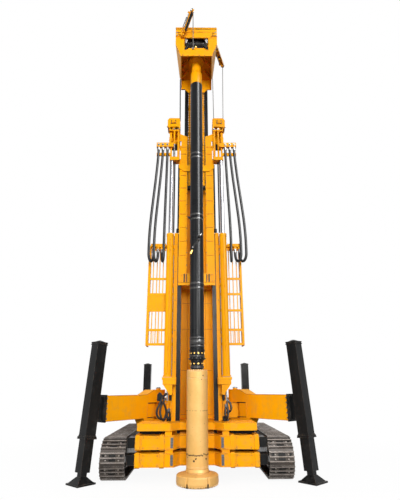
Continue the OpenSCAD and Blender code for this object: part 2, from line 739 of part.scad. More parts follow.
module jack_tube(side) {
    w = jack_tube_w / 2;
    color(black) at_arm(side) {
        difference() {
            union() {
                leaned() {
                    block([-w, -w, jack_tube_z], [w, w, jack_top_z]);
                    block([-w - 16, -w - 16, jack_tube_z], [w + 16, w + 16, jack_tube_z + 45]);
                    block([-w - 8, -w - 8, jack_top_z - 24], [w + 8, w + 8, jack_top_z]);
                    hull() {
                        block([-w + 15, -w + 15, jack_top_z - 1], [w - 15, w - 15, jack_top_z]);
                        block([-20, -20, jack_top_z + 30], [20, 20, jack_top_z + 34]);
                    }
                }
                block([1475 + gap, -arm_w / 2 - 12, arm_z - 8],
                      [1501, arm_w / 2 + 12, arm_z + arm_h + 8]);
                block([1500, -arm_w / 2 + 60, arm_z + 30],
                      [arm_reach - 90, arm_w / 2 - 60, arm_z + arm_h - 30]);
            }
            leaned() {
                block([-w + 10, -w + 10, jack_tube_z + 60], [w - 10, w - 10, jack_top_z - 30]);
                l = jack_leg_w / 2 + gap;
                block([-l, -l, jack_tube_z - 1], [l, l, jack_tube_z + 61]);
            }
        }
    }
}

module jack_leg(side) {
    w = jack_leg_w / 2;
    color(black) at_arm(side) {
        leaned() {
            block([-w, -w, 185], [w, w, 1650]);
            block([-60, -60, 110], [60, 60, 186]);
        }
        translate([arm_reach + lean_z * sin(jack_lean), 0, 0]) foot(foot_w, 125);
    }
}

module mast_base() {
    y0 = mast_front_y;
    strap_z = barrel_foot_z - 6;
    color(yellow) {
        both_sides() {
            // box walls
            difference() {
                block([base_half_w - wall_t, y0, deck_z + gap],
                      [base_half_w, base_back_y, base_top_z]);
                block([base_half_w - wall_t + 10, y0 + 10, deck_z + 40],
                      [base_half_w - 10, base_back_y - 10, base_top_z - 20]);
            }
            // ears for the pivot, inside the stand's brackets
            across(base_half_w - wall_t, base_half_w)
                polygon([[base_back_y - 1, mast_pivot_z - 160],
                         [mast_pivot_y, mast_pivot_z - 90],
                         [mast_pivot_y + 70, mast_pivot_z - 50],
                         [mast_pivot_y + 70, mast_pivot_z + 60],
                         [base_back_y - 1, mast_pivot_z + 300]]);
            // pivot pin
            translate([base_half_w - 1, mast_pivot_y, mast_pivot_z]) rotate([0, 90, 0])
                cylinder(h = 140, r = 45);
            // two-tier brackets under the lift cylinders, with a sloping web
            block([mid_half_w + run, lift_y - 100, strap_z - 51],
                  [lift_x + 103, y0 - gap, strap_z]);
            block([mid_half_w + run, lift_y - 90, strap_z - 140],
                  [lift_x + 87, y0 - gap, strap_z - 50]);
            block([base_half_w - 1, y0 - 1, strap_z - 140], [lift_x + 60, y0 + 60, strap_z]);
            translate([0, lift_y + 80, 0]) rotate([90, 0, 0]) linear_extrude(150)
                polygon([[base_half_w - 20, strap_z - 139], [lift_x + 80, strap_z - 139],
                         [base_half_w + 30, strap_z - 330], [base_half_w - 20, strap_z - 330]]);
            block([base_half_w - 20, lift_y - 70, strap_z - 330],
                  [base_half_w + 30, y0 + 60, strap_z - 139]);
            // stiffening plates on the side walls
            for (z = [2350, 3150, 3950, 4700])
                block([base_half_w - 1, y0 + 440, z], [base_half_w + 16, base_back_y - 20, z + 40]);
        }
        // open lugs for the tilt rods' eyes
        both_sides() for (x = [tilt_x - 62, tilt_x + 42]) across(x, x + 20)
            difference() {
                polygon([[base_back_y - 1, tilt_eye_z - 250], [tilt_eye_y + 60, tilt_eye_z - 60],
                         [tilt_eye_y + 60, tilt_eye_z + 60], [base_back_y - 1, tilt_eye_z + 250]]);
                translate([tilt_eye_y, tilt_eye_z]) circle(32.05);
            }
        // back plate with cross stiffeners
        block([-base_half_w + wall_t - 1, base_back_y - 30, deck_z + gap],
              [base_half_w - wall_t + 1, base_back_y, base_top_z]);
        for (z = [1250, 2900, 3600, 4300])
            block([-base_half_w + wall_t, base_back_y - 1, z],
                  [base_half_w - wall_t, base_back_y + 24, z + 60]);
    }
}

module base_rails() {
    color(black) both_sides()
        block([345, mast_front_y + 22, deck_z + 1],
              [base_half_w - wall_t - gap, mast_front_y + 110, base_top_z - 5]);
}

module lift_barrels() {
    color(yellow) both_sides() translate([lift_x, lift_y, 0]) {
        difference() {
            union() {
                translate([0, 0, barrel_foot_z])
                    cylinder(h = barrel_top_z - barrel_foot_z, r = barrel_d / 2);
                translate([0, 0, barrel_top_z - 60]) cylinder(h = 60, r = barrel_d / 2 + 5);
                translate([0, 0, barrel_foot_z]) cylinder(h = 30, r = barrel_d / 2 + 14);
            }
            translate([0, 0, barrel_foot_z + 60])
                cylinder(h = barrel_top_z - barrel_foot_z, r = rod_d / 2 + 0.3);
        }
        // straps to the mast's wall
        for (z = [2600, 3700, 4450])
            block([base_half_w - lift_x + gap, 0, z], [-barrel_d / 2 + 22, 170, z + 60]);
        // oil pipe along the barrel
        translate([0, -barrel_d / 2 - 14, barrel_foot_z + 60])
            cylinder(h = barrel_top_z - barrel_foot_z - 180, r = 9);
        for (z = [barrel_foot_z + 60, barrel_top_z - 150])
            block([-14, -barrel_d / 2 - 24, z], [14, -barrel_d / 2 + 4, z + 30]);
    }
}

// One guard: uprights in front, hoops round the hoses' side, and cross rails.
module cage(posts, outer_w) {
    y0 = cage_y;
    y1 = cage_y + 360;
    z0 = cage_foot_z;
    z1 = cage_top_z;
    out_x = posts[0] + outer_w;
    last = posts[len(posts) - 1];
    // outer upright and the thin ones
    block([posts[0], y0, z0], [out_x, y0 + 26, z1]);
    for (i = [1:len(posts) - 1])
        block([posts[i], y0 + 2, z0], [posts[i] + 20, y0 + 18, z1]);
    for (y = [y0 + 120, y0 + 240, y1 - 20])
        block([out_x - 26, y, z0], [out_x, y + 20, z1]);
    // cross rails in front and along the side
    for (z = concat([for (r = cage_rails) z0 + r], [z1 - 50])) {
        block([base_half_w + gap, y0 + 1, z], [out_x, y0 + 17, z + 50]);
        block([out_x - 25, y0 + 1, z], [out_x - 1, y1, z + 50]);
    }
    // short bars across the lowest bay
    for (x = [last + 55 : 44 : posts[0] - 30])
        block([x, y0 + 5, z0 + 1], [x + 12, y0 + 13, z0 + cage_rails[1] + 1]);
}

module cages() {
    color(yellow) {
        mirror([1, 0, 0]) cage(left_posts, 52);
        cage(right_posts, 44);
        // closed bay of the left cage
        block([-left_posts[0] - 39, cage_y + 4, cage_foot_z + cage_rails[2] + 34],
              [-base_half_w - 140, cage_y + 10, cage_foot_z + cage_rails[3] + 18]);
    }
}

module low_hose_brackets() {
    hang_y = hose_y + hose_back;
    in_x = hoses_x[0][2] - 90;
    out_x = hoses_x[2][2] + 63;
    plate_h = 70;
    color(yellow) both_sides() {
        block([base_half_w + gap, mast_front_y - 30, low_clip_z],
              [in_x + 1, mast_front_y + 30, low_clip_z + plate_h]);
        block([in_x, hang_y - 40, low_clip_z],
              [out_x, mast_front_y + 30, low_clip_z + plate_h]);
        for (h = hoses_x) translate([h[2], hang_y, low_clip_z - 60])
            cylinder(h = 61, r = hose_clip_r);
        block([in_x, hang_y + 30, low_clip_z - 74], [out_x - 13, hang_y + 50, low_clip_z + 1]);
    }
}

// Puts a shape that is drawn along +Z from a tilt cylinder's foot into its place.
module at_tilt() {
    both_sides() translate([tilt_x, tilt_foot_y, tilt_foot_z])
        rotate([tilt_angle - 90, 0, 0]) children();
}

module tilt_barrels() {
    color(black) at_tilt() {
        difference() {
            union() {
                translate([0, 0, 70]) cylinder(h = tilt_barrel_len - 70, r = tilt_barrel_d / 2);
                cylinder(h = 71, r = 30);
                rotate([0, 90, 0]) cylinder(h = 68, r = 60, center = true);
                rotate([0, 90, 0]) cylinder(h = 120, r = 32, center = true);
            }
            translate([0, 0, 100]) cylinder(h = 1000, r = tilt_rod_d / 2 + gap);
        }
    }
}

module tilt_rods() {
    color(steel) at_tilt() {
        translate([0, 0, tilt_len - tilt_stroke - 210])
            cylinder(h = tilt_stroke + 210 - 50, r = tilt_rod_d / 2);
        difference() {
            translate([0, 0, tilt_len]) rotate([0, 90, 0])
                cylinder(h = 60, r = 58, center = true);
            translate([0, 0, tilt_len]) rotate([0, 90, 0])
                cylinder(h = 62, r = 32, center = true);
        }
    }
}

module mast_mid() {
    y0 = mast_front_y;
    color(yellow) {
        both_sides() {
            // front plate with a sloping top and cut-outs beside the sheave box
            translate([0, y0 + 15, 0]) rotate([90, 0, 0]) linear_extrude(14) difference() {
                polygon([[mid_slot_half_w, mid_foot_z], [mid_half_w, mid_foot_z],
                         [mid_half_w, mid_top_z], [mid_slot_half_w, mid_top_z - 80]]);
                translate([mid_half_w - 36, mid_top_z - 346]) square([37, 127]);
                translate([mid_half_w - 20, mid_top_z - 735]) square([21, 249]);
            }
            // stiffening ribs
            for (z = concat([for (i = [0:6]) mid_foot_z + 702 + i * rib_pitch],
                            [mid_top_z - 597, mid_top_z - 393]))
                block([mid_slot_half_w + 24, y0 - 12, z], [mid_half_w - 22, y0 + 2, z + 12]);
            // edge bars of the slot
            block([mid_slot_half_w, y0 - 6, mid_foot_z + 260],
                  [mid_slot_half_w + 14, y0 + 2, mid_top_z - 90]);
            // web between the rails
            block([320, y0 + 14, mid_foot_z], [338, y0 + 390, mid_top_z - 60]);
        }
        block([-338, y0 + 375, mid_foot_z], [338, y0 + 390, mid_top_z - 60]);
        for (z = [mid_foot_z + 500 : 700 : mid_top_z - 500])
            block([-300, y0 + 389, z], [300, y0 + 404, z + 50]);
        // guide pads on the rails of the lowest stage and of the upper one
        both_sides() {
            block([337, y0 + 30, mid_foot_z + 40], [345 - gap, y0 + 102, mid_foot_z + 240]);
            block([mid_slot_half_w + 20, y0 + 14, mid_top_z - 340],
                  [280, y0 + 21 - gap, mid_top_z - 160]);
        }
        // lower cross bar with slots, and the ledge under it
        difference() {
            block([-mid_half_w, y0 - 40, mid_foot_z + 68], [mid_half_w, y0 + 2, mid_foot_z + 264]);
            for (s = [-1, 1], x = [230, 330]) translate([s * x, 0, 0])
                block([-19, y0 - 41, mid_foot_z + 92], [19, y0 - 12, mid_foot_z + 240]);
        }
        block([-mid_half_w, y0 - 20, mid_foot_z], [mid_half_w, y0 + 2, mid_foot_z + 69]);
    }
}

module sheave_boxes() {
    y0 = mast_front_y;
    in_x = mid_half_w + gap;
    box_x = sheave_box_x;
    neck_x = sheave_neck_x;
    foot_z = sheave_foot_z;
    sill_z = sheave_top_z - 265;
    shoulder_z = sheave_top_z - 60;
    slot_top_z = sill_z - 182;
    sheave_z = sheave_top_z - 300;
    sheave_x = (in_x + box_x) / 2;
    hung_x = neck_x - 56;
    clamp_z = [anchor_z + 140, anchor_z + 223];
    color(yellow) both_sides() {
        // front plate with cut corners, over the sheave's window
        translate([0, y0 + 6, 0]) rotate([90, 0, 0]) linear_extrude(sheave_wall) difference() {
            polygon([[in_x, foot_z], [in_x, sheave_top_z - 30], [in_x + 24, sheave_top_z],
                     [box_x - 45, sheave_top_z], [box_x, shoulder_z], [box_x, sill_z],
                     [box_x - 50, sill_z - 30], [neck_x, foot_z]]);
            polygon([[in_x + 40, sill_z - 146], [in_x + 40, sill_z], [box_x - 60, sill_z],
                     [box_x - 85, sill_z - 146]]);
            polygon([[in_x + 60, foot_z + 30], [in_x + 60, slot_top_z], [hung_x, slot_top_z],
                     [hung_x, foot_z + 30]]);
        }
        // back plate and side plates
        translate([0, y0 + 260, 0]) rotate([90, 0, 0]) linear_extrude(sheave_wall)
            polygon([[in_x, foot_z], [in_x, sheave_top_z - 30], [box_x - 45, sheave_top_z],
                     [box_x, shoulder_z], [box_x, sill_z], [box_x - 50, sill_z - 30],
                     [neck_x, foot_z]]);
        block([box_x - sheave_wall, y0 + 5, sill_z], [box_x, y0 + 245, shoulder_z]);
        block([neck_x - sheave_wall, y0 + 5, foot_z], [neck_x, y0 + 245, sill_z - 60]);
        block([in_x, y0 + 5, sill_z], [in_x + sheave_wall, y0 + 245, sheave_top_z - 40]);
        block([in_x + 20, y0 + 5, sheave_top_z - sheave_wall],
              [box_x - 50, y0 + 245, sheave_top_z]);
        // sheave on its pin, with the pin's boss in front
        translate([sheave_x, y0 + 20, sheave_z]) rotate([-90, 0, 0])
            rotate_extrude() polygon([[0, 0], [40, 0], [40, 60], [128, 60], [128, 76],
                [108, 88], [128, 100], [128, 116], [40, 116], [40, 230], [0, 230]]);
        translate([sheave_x + 10, y0 - 9, sheave_top_z - 130]) rotate([90, 0, 0])
            cylinder(h = 26, r = 46);
        block([sheave_x - 50, y0 - 24, sheave_top_z - 120], [sheave_x + 6, y0 - 9,
               sheave_top_z - 96]);
        // bolted link to the middle stage
        block([in_x, y0 + 1, anchor_z], [in_x + 11, y0 + 15, foot_z + 1]);
        // tie rods with their nuts, down to the anchor
        for (r = [[450, 26], [550, 24]]) translate([r[0], y0 - 60, 0]) {
            translate([0, 0, anchor_z + anchor_h - 1])
                cylinder(h = slot_top_z + 23 - anchor_z - anchor_h, r = r[1]);
            for (z = [anchor_z + anchor_h - 1, slot_top_z - 18])
                translate([0, 0, z]) cylinder(h = 40, r = r[1] + 16, $fn = 6);
        }
        // cross bar that holds the rods' upper ends
        block([in_x, y0 - 92, slot_top_z], [neck_x, y0 + 6, slot_top_z + 36]);
        // anchor of the lift rods and the gusset in front of the middle stage
        difference() {
            block([in_x, lift_y - 60, anchor_z], [anchor_out_x, y0 - 7, anchor_z + anchor_h]);
            translate([lift_x, lift_y, anchor_z - 1]) cylinder(h = 60, r = rod_d / 2 + 0.3);
        }
        translate([0, y0 - 7, 0]) rotate([90, 0, 0]) linear_extrude(22)
            polygon([[in_x + 20, anchor_z + anchor_h], [in_x - 23, anchor_z + anchor_h],
                     [mid_slot_half_w - 10, anchor_z - 44], [mid_slot_half_w - 68, anchor_z - 44],
                     [mid_slot_half_w - 68, anchor_z - 206],
                     [mid_slot_half_w + 86, anchor_z - 206], [in_x + 20, anchor_z - 110]]);
        block([in_x, y0 - 8, anchor_z + 60], [in_x + 11, y0 + 15, anchor_z + anchor_h]);
        // hose manifold, clamp bar and their hangers
        hoses_end_x = hoses_x[2][0] + 50;
        block([hung_x - 56, hose_y - 36, hose_top_z + gap],
              [hoses_end_x, hose_y + 44, hose_top_z + 115]);
        block([hung_x, hose_y + 30, hose_top_z + 80], [neck_x, y0 + 6, foot_z + 16]);
        block([anchor_out_x - 50, hose_y + 38, clamp_z[0]],
              [hoses_end_x, hose_y + 66, clamp_z[1]]);
        block([anchor_out_x - 50, hose_y + 38, anchor_z + 60],
              [anchor_out_x - 10, hose_y + 66, hose_top_z + 20]);
    }
}

module lift_rods() {
    color(steel) both_sides() translate([lift_x, lift_y, 0])
        translate([0, 0, rod_foot_z]) cylinder(h = anchor_z + 58 - rod_foot_z, r = rod_d / 2);
}

module mast_top() {
    y0 = mast_front_y + 21;
    rail_top_z = head_top_z - 560;
    color(black) both_sides() {
        block([208, y0, top_foot_z], [300, y0 + 110, rail_top_z]);
        // feet of the chains
        block([140, y0 + 20, top_foot_z + 20], [209, y0 + 80, top_foot_z + 80]);
    }
    color(black) for (i = [0:4])
        let (z = top_foot_z + i * (rail_top_z - 90 - top_foot_z) / 4)
            block([-209, y0 + 60, z], [209, y0 + 110, z + 90]);
}

module feed_chains() {
    y0 = mast_front_y + 21;
    pitch = 76;
    links = floor((head_top_z - 847 - top_foot_z - 100) / pitch);
    color(yellow) both_sides() translate([177, y0 + 60 - gap, top_foot_z + 81])
        rotate([90, 0, 0]) {
            linear_extrude(10) polygon(concat(
                [for (i = [0:links - 1]) each [[24, i * pitch + 8], [30, i * pitch + 20],
                    [30, i * pitch + 56], [24, i * pitch + 68], [15, i * pitch + 76]]],
                [for (i = [links - 1:-1:0]) each [[-15, i * pitch + 76], [-24, i * pitch + 68],
                    [-30, i * pitch + 56], [-30, i * pitch + 20], [-24, i * pitch + 8]]]));
            for (i = [0:links - 1]) translate([0, i * pitch + 38, 9])
                cylinder(h = 26, r = 15, $fn = 8);
        }
}

// Outline of the head across the machine, with its side walls w in from the outside.
module head_outline(half_w, low_half_w, corner_z, low_z, w) {
    polygon([[-half_w + w, head_top_z - w], [-half_w + w, corner_z], [-low_half_w + w, low_z],
             [low_half_w - w, low_z], [half_w - w, corner_z], [half_w - w, head_top_z - w]]);
}

// A solid between an outline in front and one at the back.
module lofted(front_y, back_y) {
    hull() {
        translate([0, front_y + 1, 0]) rotate([90, 0, 0]) linear_extrude(1) children(0);
        translate([0, back_y, 0]) rotate([90, 0, 0]) linear_extrude(1) children(1);
    }
}

module low_box(half_w, low_z, high_z) {
    translate([-half_w, low_z]) square([2 * half_w, high_z - low_z]);
}

module head() {
    y1 = mast_front_y + 20;
    beam_z = head_top_z - 324;
    corner_z = head_top_z - 519;
    back_low_z = head_front_z + 30;
    win_w = 288;
    back_half_w = 406;
    color(yellow) {
        difference() {
            union() {
                lofted(head_front_y, y1) {
                    head_outline(head_w / 2, head_low_w / 2, corner_z, head_front_z, 0);
                    head_outline(443, back_half_w, corner_z + 53, corner_z - 3, 0);
                }
                // lower side walls, back to the carriage
                lofted(head_front_y, y1) {
                    low_box(head_low_w / 2, head_front_z, corner_z);
                    low_box(back_half_w, back_low_z, corner_z);
                }
            }
            // hollow, and open below
            lofted(head_front_y + 20, y1 - 20) {
                head_outline(head_w / 2, head_low_w / 2, corner_z, head_front_z - 40, 20);
                head_outline(443, back_half_w, corner_z + 53, corner_z - 60, 20);
            }
            lofted(head_front_y + 20, y1 - 20) {
                low_box(head_low_w / 2 - 18, head_front_z - 80, corner_z);
                low_box(back_half_w - 18, head_front_z - 80, corner_z);
            }
            // pin hole of the upper jib
            translate([jib_right_at[0], jib_right_at[1], head_top_z - 30])
                cylinder(h = 40, r = 25.05);
            // window in front of the winch
            block([-win_w, head_front_y - 1, head_top_z - 699], [win_w, head_front_y + 21, beam_z]);
        }
        // seam and lower edge strips of the top beam
        for (z = [head_top_z - 146, beam_z])
            block([-head_w / 2 + 2, head_front_y - 8, z], [head_w / 2 - 2, head_front_y + 1, z + 12]);
        block([-head_w / 2, head_front_y - 14, head_top_z - 40],
              [head_w / 2, head_front_y + 1, head_top_z - 8]);
        // corner lugs with their slots
        both_sides() difference() {
            block([head_w / 2 - 150, head_front_y - 22, beam_z + 40],
                  [head_w / 2 - 4, head_front_y + 1, head_top_z - 150]);
            for (z = [beam_z + 58, head_top_z - 200])
                block([head_w / 2 - 125, head_front_y - 23, z],
                      [head_w / 2 - 50, head_front_y - 6, z + 26]);
        }
        // folded guard under the winch
        translate([0, head_front_y + 62, 0]) rotate([90, 0, 0]) linear_extrude(12)
            polygon([[-win_w, head_top_z - 720], [-190, head_top_z - 590],
                     [190, head_top_z - 590], [win_w, head_top_z - 720]]);
        // lower edge strip of the front plate
        block([-head_low_w / 2 - 20, head_front_y - 8, head_front_z],
              [head_low_w / 2 + 20, head_front_y + 1, head_front_z + 40]);
        // plate that the rotary drive hangs on
        block([-head_low_w / 2 + 1, head_front_y + 110, drive_z],
              [head_low_w / 2 - 1, y1 - 1, drive_z + 30]);
        across(-head_low_w / 2 + 1, head_low_w / 2 - 1)
            polygon([[head_front_y + 1, head_front_z + 100], [head_front_y + 130, drive_z + 1],
                     [head_front_y + 130, drive_z + 30], [head_front_y + 1, head_front_z + 130]]);
        // diagonal stiffeners under it, from the walls towards the drive
        both_sides() for (y = [drill_y + 190, drill_y + 560])
            translate([head_low_w / 2, y, drive_z - 90]) rotate([0, 0, 234])
                cube([280, 14, 91]);
        // bearing plates of the winch
        both_sides() across(266, 280) difference() {
            polygon([[winch_y - 140, drive_z + 29], [winch_y + 160, drive_z + 29],
                     [winch_y + 80, winch_z + 80], [winch_y - 80, winch_z + 80]]);
            translate([winch_y, winch_z]) circle(40.05);
        }
        // carriage plate against the upper stage
        block([-400, y1 - 40, back_low_z], [400, y1 + 1 - gap, drive_z + 60]);
        both_sides() translate([0, y1 - 10, 0]) rotate([90, 0, 0]) linear_extrude(24)
            polygon([[150, back_low_z + 1], [305, back_low_z + 1], [200, back_low_z - 110],
                     [150, back_low_z - 110]]);
        // ears of the front jib's pin
        for (z = [jib_z - 96, jib_z + 60]) translate([0, 0, z]) linear_extrude(36)
            difference() {
                union() {
                    translate([jib_left_at[0] - 45, jib_left_at[1]])
                        square([90, head_front_y + 1 - jib_left_at[1]]);
                    translate(jib_left_at) circle(45);
                }
                translate(jib_left_at) circle(25.05);
            }
    }
}

module spindle() {
    low_z = pipe_top_z + run;
    color(yellow) translate([0, drill_y, 0]) difference() {
        rotate_extrude() polygon([[0, low_z], [139, low_z], [139, pipe_top_z + 330],
            [114, pipe_top_z + 390], [114, drive_z - 175], [150, drive_z - 140],
            [181, drive_z - 110], [181, drive_z - 72], [130, drive_z - 50],
            [130, drive_z - gap], [0, drive_z - gap]]);
        translate([0, 0, low_z - 1]) cylinder(h = 295, r = 70.05);
    }
}

module winch_drum() {
    color([0.25, 0.25, 0.27]) translate([0, winch_y, winch_z]) rotate([0, 90, 0])
        rotate_extrude() polygon([[0, -300], [40, -300], [40, -255], [winch_r, -255],
            [winch_r, -238], [winch_r - 60, -215], [72, -185], [72, 185],
            [winch_r - 60, 215], [winch_r, 238], [winch_r, 255], [40, 255], [40, 300],
            [0, 300]]);
}

// A jib: hub on its pin, level root, rising channel beam, tip sheave and the small cylinder
// beside it. The reach is measured along the beam, from the root's end.
module jib(pin, pin_z, reach, turn, rise, side) {
    color(yellow) translate([pin[0], pin[1], pin_z]) {
        translate([0, 0, -100]) cylinder(h = 200, r = 25);
        translate([0, 0, -54]) cylinder(h = 108, r = 44);
        rotate([0, 0, turn]) block([30, -40, -32], [jib_root + 14, 40, 32]);
        rotate([0, 0, turn]) translate([jib_root, 0, 0]) rotate([0, -rise, 0]) {
            // channel, open below
            block([0, -42, 22], [reach - 30, 42, 34]);
            for (y = [-42, 32]) block([0, y, -34], [reach - 30, y + 10, 34]);
            for (x = [reach * 0.35, reach * 0.68]) block([x, -34, -30], [x + 30, 34, 24]);
            // tip plates and sheave
            for (y = [-26, 16]) translate([0, y + 10, 0]) rotate([90, 0, 0]) linear_extrude(10)
                union() {
                    translate([reach, 0]) circle(42);
                    translate([reach - 60, -30]) square([60, 60]);
                }
            translate([reach, 0, 0]) rotate([90, 0, 0]) cylinder(h = 34, r = 52, center = true);
            // small cylinder along the side
            translate([60, side * 62, 0]) rotate([0, 90, 0]) cylinder(h = reach * 0.5, r = 22);
            translate([60, side * 62, 0]) rotate([0, 90, 0]) cylinder(h = reach - 110, r = 12);
            for (x = [60, reach - 90])
                block([x, min(side * 32, side * 84), -14], [x + 40, max(side * 32, side * 84), 14]);
        }
    }
}

module jib_left() {
    jib(jib_left_at, jib_z, jib_left_reach, -54.2, 48.4, -1);
}

module jib_right() {
    jib(jib_right_at, head_top_z + 62, jib_right_reach, 71.3, 0, 1);
}

module drill_pipe() {
    z0 = hammer_top_z + gap;
    ring_pitch = 1511;
    color(black) translate([0, drill_y, 0]) {
        // coupling above the hammer, with its lip
        rotate_extrude() polygon([[0, z0], [118, z0], [118, z0 + 150], [126, z0 + 158],
            [126, z0 + 176], [150, z0 + 188], [150, z0 + 214], [143, z0 + 222],
            [143, z0 + 340], [150, z0 + 346], [150, z0 + 370], [pipe_d / 2, z0 + 378],
            [pipe_d / 2, pipe_top_z], [70, pipe_top_z], [70, pipe_top_z + 250],
            [0, pipe_top_z + 250]]);
        // joint rings
        for (i = [1:3]) translate([0, 0, hammer_top_z + 89 + i * ring_pitch])
            cylinder(h = 34, r = pipe_d / 2 + 4);
    }
}

module hammer() {
    flare_z = 214;
    color([0.92, 0.75, 0.45]) translate([0, drill_y, 0]) {
        difference() {
            rotate_extrude() polygon([[0, bit_z], [bit_d / 2 - 40, bit_z],
                [bit_d / 2 - 6, bit_z + 30], [bit_d / 2, bit_z + 60], [bit_d / 2 - 5, 165],
                [bit_d / 2 - 22, 180], [hammer_d / 2 + 20, flare_z - 6],
                [hammer_d / 2 + 16, flare_z], [hammer_d / 2, flare_z + 58],
                [hammer_d / 2, hammer_top_z - 155], [hammer_d / 2 - 5, hammer_top_z - 150],
                [hammer_d / 2 - 5, hammer_top_z - 140], [hammer_d / 2, hammer_top_z - 135],
                [hammer_d / 2, hammer_top_z - 30], [hammer_d / 2 - 24, hammer_top_z],
                [0, hammer_top_z]]);
            // flutes for the cuttings
            for (a = [0:60:300]) rotate([0, 0, a]) translate([bit_d / 2 + 6, 0, bit_z - 1])
                cylinder(h = 260, r = 30);
        }
        // buttons on the bit's lower edge
        for (a = [0:60:300], b = [14, 23, 32, 41]) rotate([0, 0, a + b + 2.5])
            translate([bit_d / 2 - 34, 0, bit_z + 32]) rotate([0, 130, 0])
                cylinder(h = 30, r = 14, $fn = 8);
    }
}

// A tube swept along hand-picked points.
function unit(v) = v / norm(v);
function ring(p, d, r) =
    let (t = unit(d), a = unit(cross(t, [0.2, 1, 0.1])), b = cross(t, a))
    [for (i = [0:7]) p + r * (cos(i * 45) * a + sin(i * 45) * b)];
module tube(points, r) {
    n = len(points);
    rings = [for (i = [0:n - 1])
        ring(points[i], points[min(i + 1, n - 1)] - points[max(i - 1, 0)], r)];
    polyhedron(
        points = [for (q = rings) each q],
        faces = concat(
            [[for (i = [7:-1:0]) i]],
            [for (j = [0:n - 2], i = [0:7])
                let (k = (i + 1) % 8) [j * 8 + i, j * 8 + k, (j + 1) * 8 + k, (j + 1) * 8 + i]],
            [[for (i = [0:7]) (n - 1) * 8 + i]]), convexity = 4);
}

// A hose's points: down from the manifold in front, round a half circle that turns
// back and inwards, and up to the lower clip behind.
function hose_path(x0, x1, x2) =
    concat([for (p = [[0, hose_top_z], [0, hose_top_z - 90], [0.08, 6760], [0.32, 6240],
                      [0.62, 5700], [0.88, 5200], [1, 4780]])
                [x0 + (x1 - x0) * p[0], hose_y, p[1]]],
           [for (a = [0:30:180])
                [(x1 + x2) / 2 + (x1 - x2) / 2 * cos(a),
                 hose_y + hose_back * (1 - cos(a)) / 2,
                 hose_low_z + 180 - 180 * sin(a)]],
           [[x2, hose_y + hose_back, low_clip_z - 60 - gap]]);

module hoses(side, bulge) {
    color(black) scale_side(side) for (h = hoses_x)
        tube(hose_path(h[0], h[1] + bulge, h[2]), 30);
}

module hoses_left() {
    hoses(-1, 0);
}

module hoses_right() {
    hoses(1, 40);
}

main_frame();
front_beams();
deck();
wear_plates();
mast_stand();
engine_block();
hood();
radiator();
fuel_tank();
oil_tank();
rear_tubes();
door(-1);  // door_left
door(1);  // door_right
track(-1);  // track_left
track(1);  // track_right
side_frame(-1);  // side_frame_left
side_frame(1);  // side_frame_right
wheels(-1);  // wheels_left
wheels(1);  // wheels_right
arm(-1);  // arm_left
arm(1);  // arm_right
jack_tube(-1);  // jack_tube_left
jack_tube(1);  // jack_tube_right
jack_leg(-1);  // jack_leg_left
jack_leg(1);  // jack_leg_right
rear_leg(-1);  // rear_leg_left
rear_leg(1);  // rear_leg_right
mast_base();
base_rails();
lift_barrels();
cages();
low_hose_brackets();
tilt_barrels();
tilt_rods();
mast_mid();
sheave_boxes();
lift_rods();
mast_top();
feed_chains();
head();
spindle();
winch_drum();
jib_left();
jib_right();
drill_pipe();
hammer();
hoses_left();
hoses_right();
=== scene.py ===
import json
import math
import random

import bmesh
import bpy
from mathutils import Matrix, Vector


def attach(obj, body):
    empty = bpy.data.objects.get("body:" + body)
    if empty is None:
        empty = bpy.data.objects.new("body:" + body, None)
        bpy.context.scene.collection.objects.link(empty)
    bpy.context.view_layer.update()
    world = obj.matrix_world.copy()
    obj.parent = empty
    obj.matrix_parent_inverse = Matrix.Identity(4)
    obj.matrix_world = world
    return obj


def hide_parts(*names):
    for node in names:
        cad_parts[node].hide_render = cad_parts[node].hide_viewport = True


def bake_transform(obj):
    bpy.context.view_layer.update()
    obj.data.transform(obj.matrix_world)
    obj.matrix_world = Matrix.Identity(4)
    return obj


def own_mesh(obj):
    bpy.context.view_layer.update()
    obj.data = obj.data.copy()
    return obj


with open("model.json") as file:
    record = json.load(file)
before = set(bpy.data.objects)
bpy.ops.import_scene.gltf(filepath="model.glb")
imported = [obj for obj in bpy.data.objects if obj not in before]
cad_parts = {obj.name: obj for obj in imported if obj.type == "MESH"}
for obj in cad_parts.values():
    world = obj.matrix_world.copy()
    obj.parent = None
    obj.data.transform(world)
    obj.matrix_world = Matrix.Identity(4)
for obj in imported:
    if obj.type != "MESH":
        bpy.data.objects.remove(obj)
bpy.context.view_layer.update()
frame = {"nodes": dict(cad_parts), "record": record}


# The camera stands low in front of the machine and looks up at its mast.
view = {"eye": (-0.042, -9.85, 1.620), "pitch": 19.19, "turn": -0.81, "roll": -0.31, "focal": 28.19}


def makeCamera():
    data = bpy.data.cameras.new("camera")
    data.lens = view["focal"]
    data.sensor_width = 36
    camera = bpy.data.objects.new("camera", data)
    camera.matrix_world = (
        Matrix.Translation(view["eye"])
        @ Matrix.Rotation(math.radians(view["turn"]), 4, "Z")
        @ Matrix.Rotation(math.radians(90 + view["pitch"]), 4, "X")
        @ Matrix.Rotation(math.radians(view["roll"]), 4, "Z")
    )
    bpy.context.scene.collection.objects.link(camera)
    bpy.context.scene.camera = camera


makeCamera()
print("camera made")


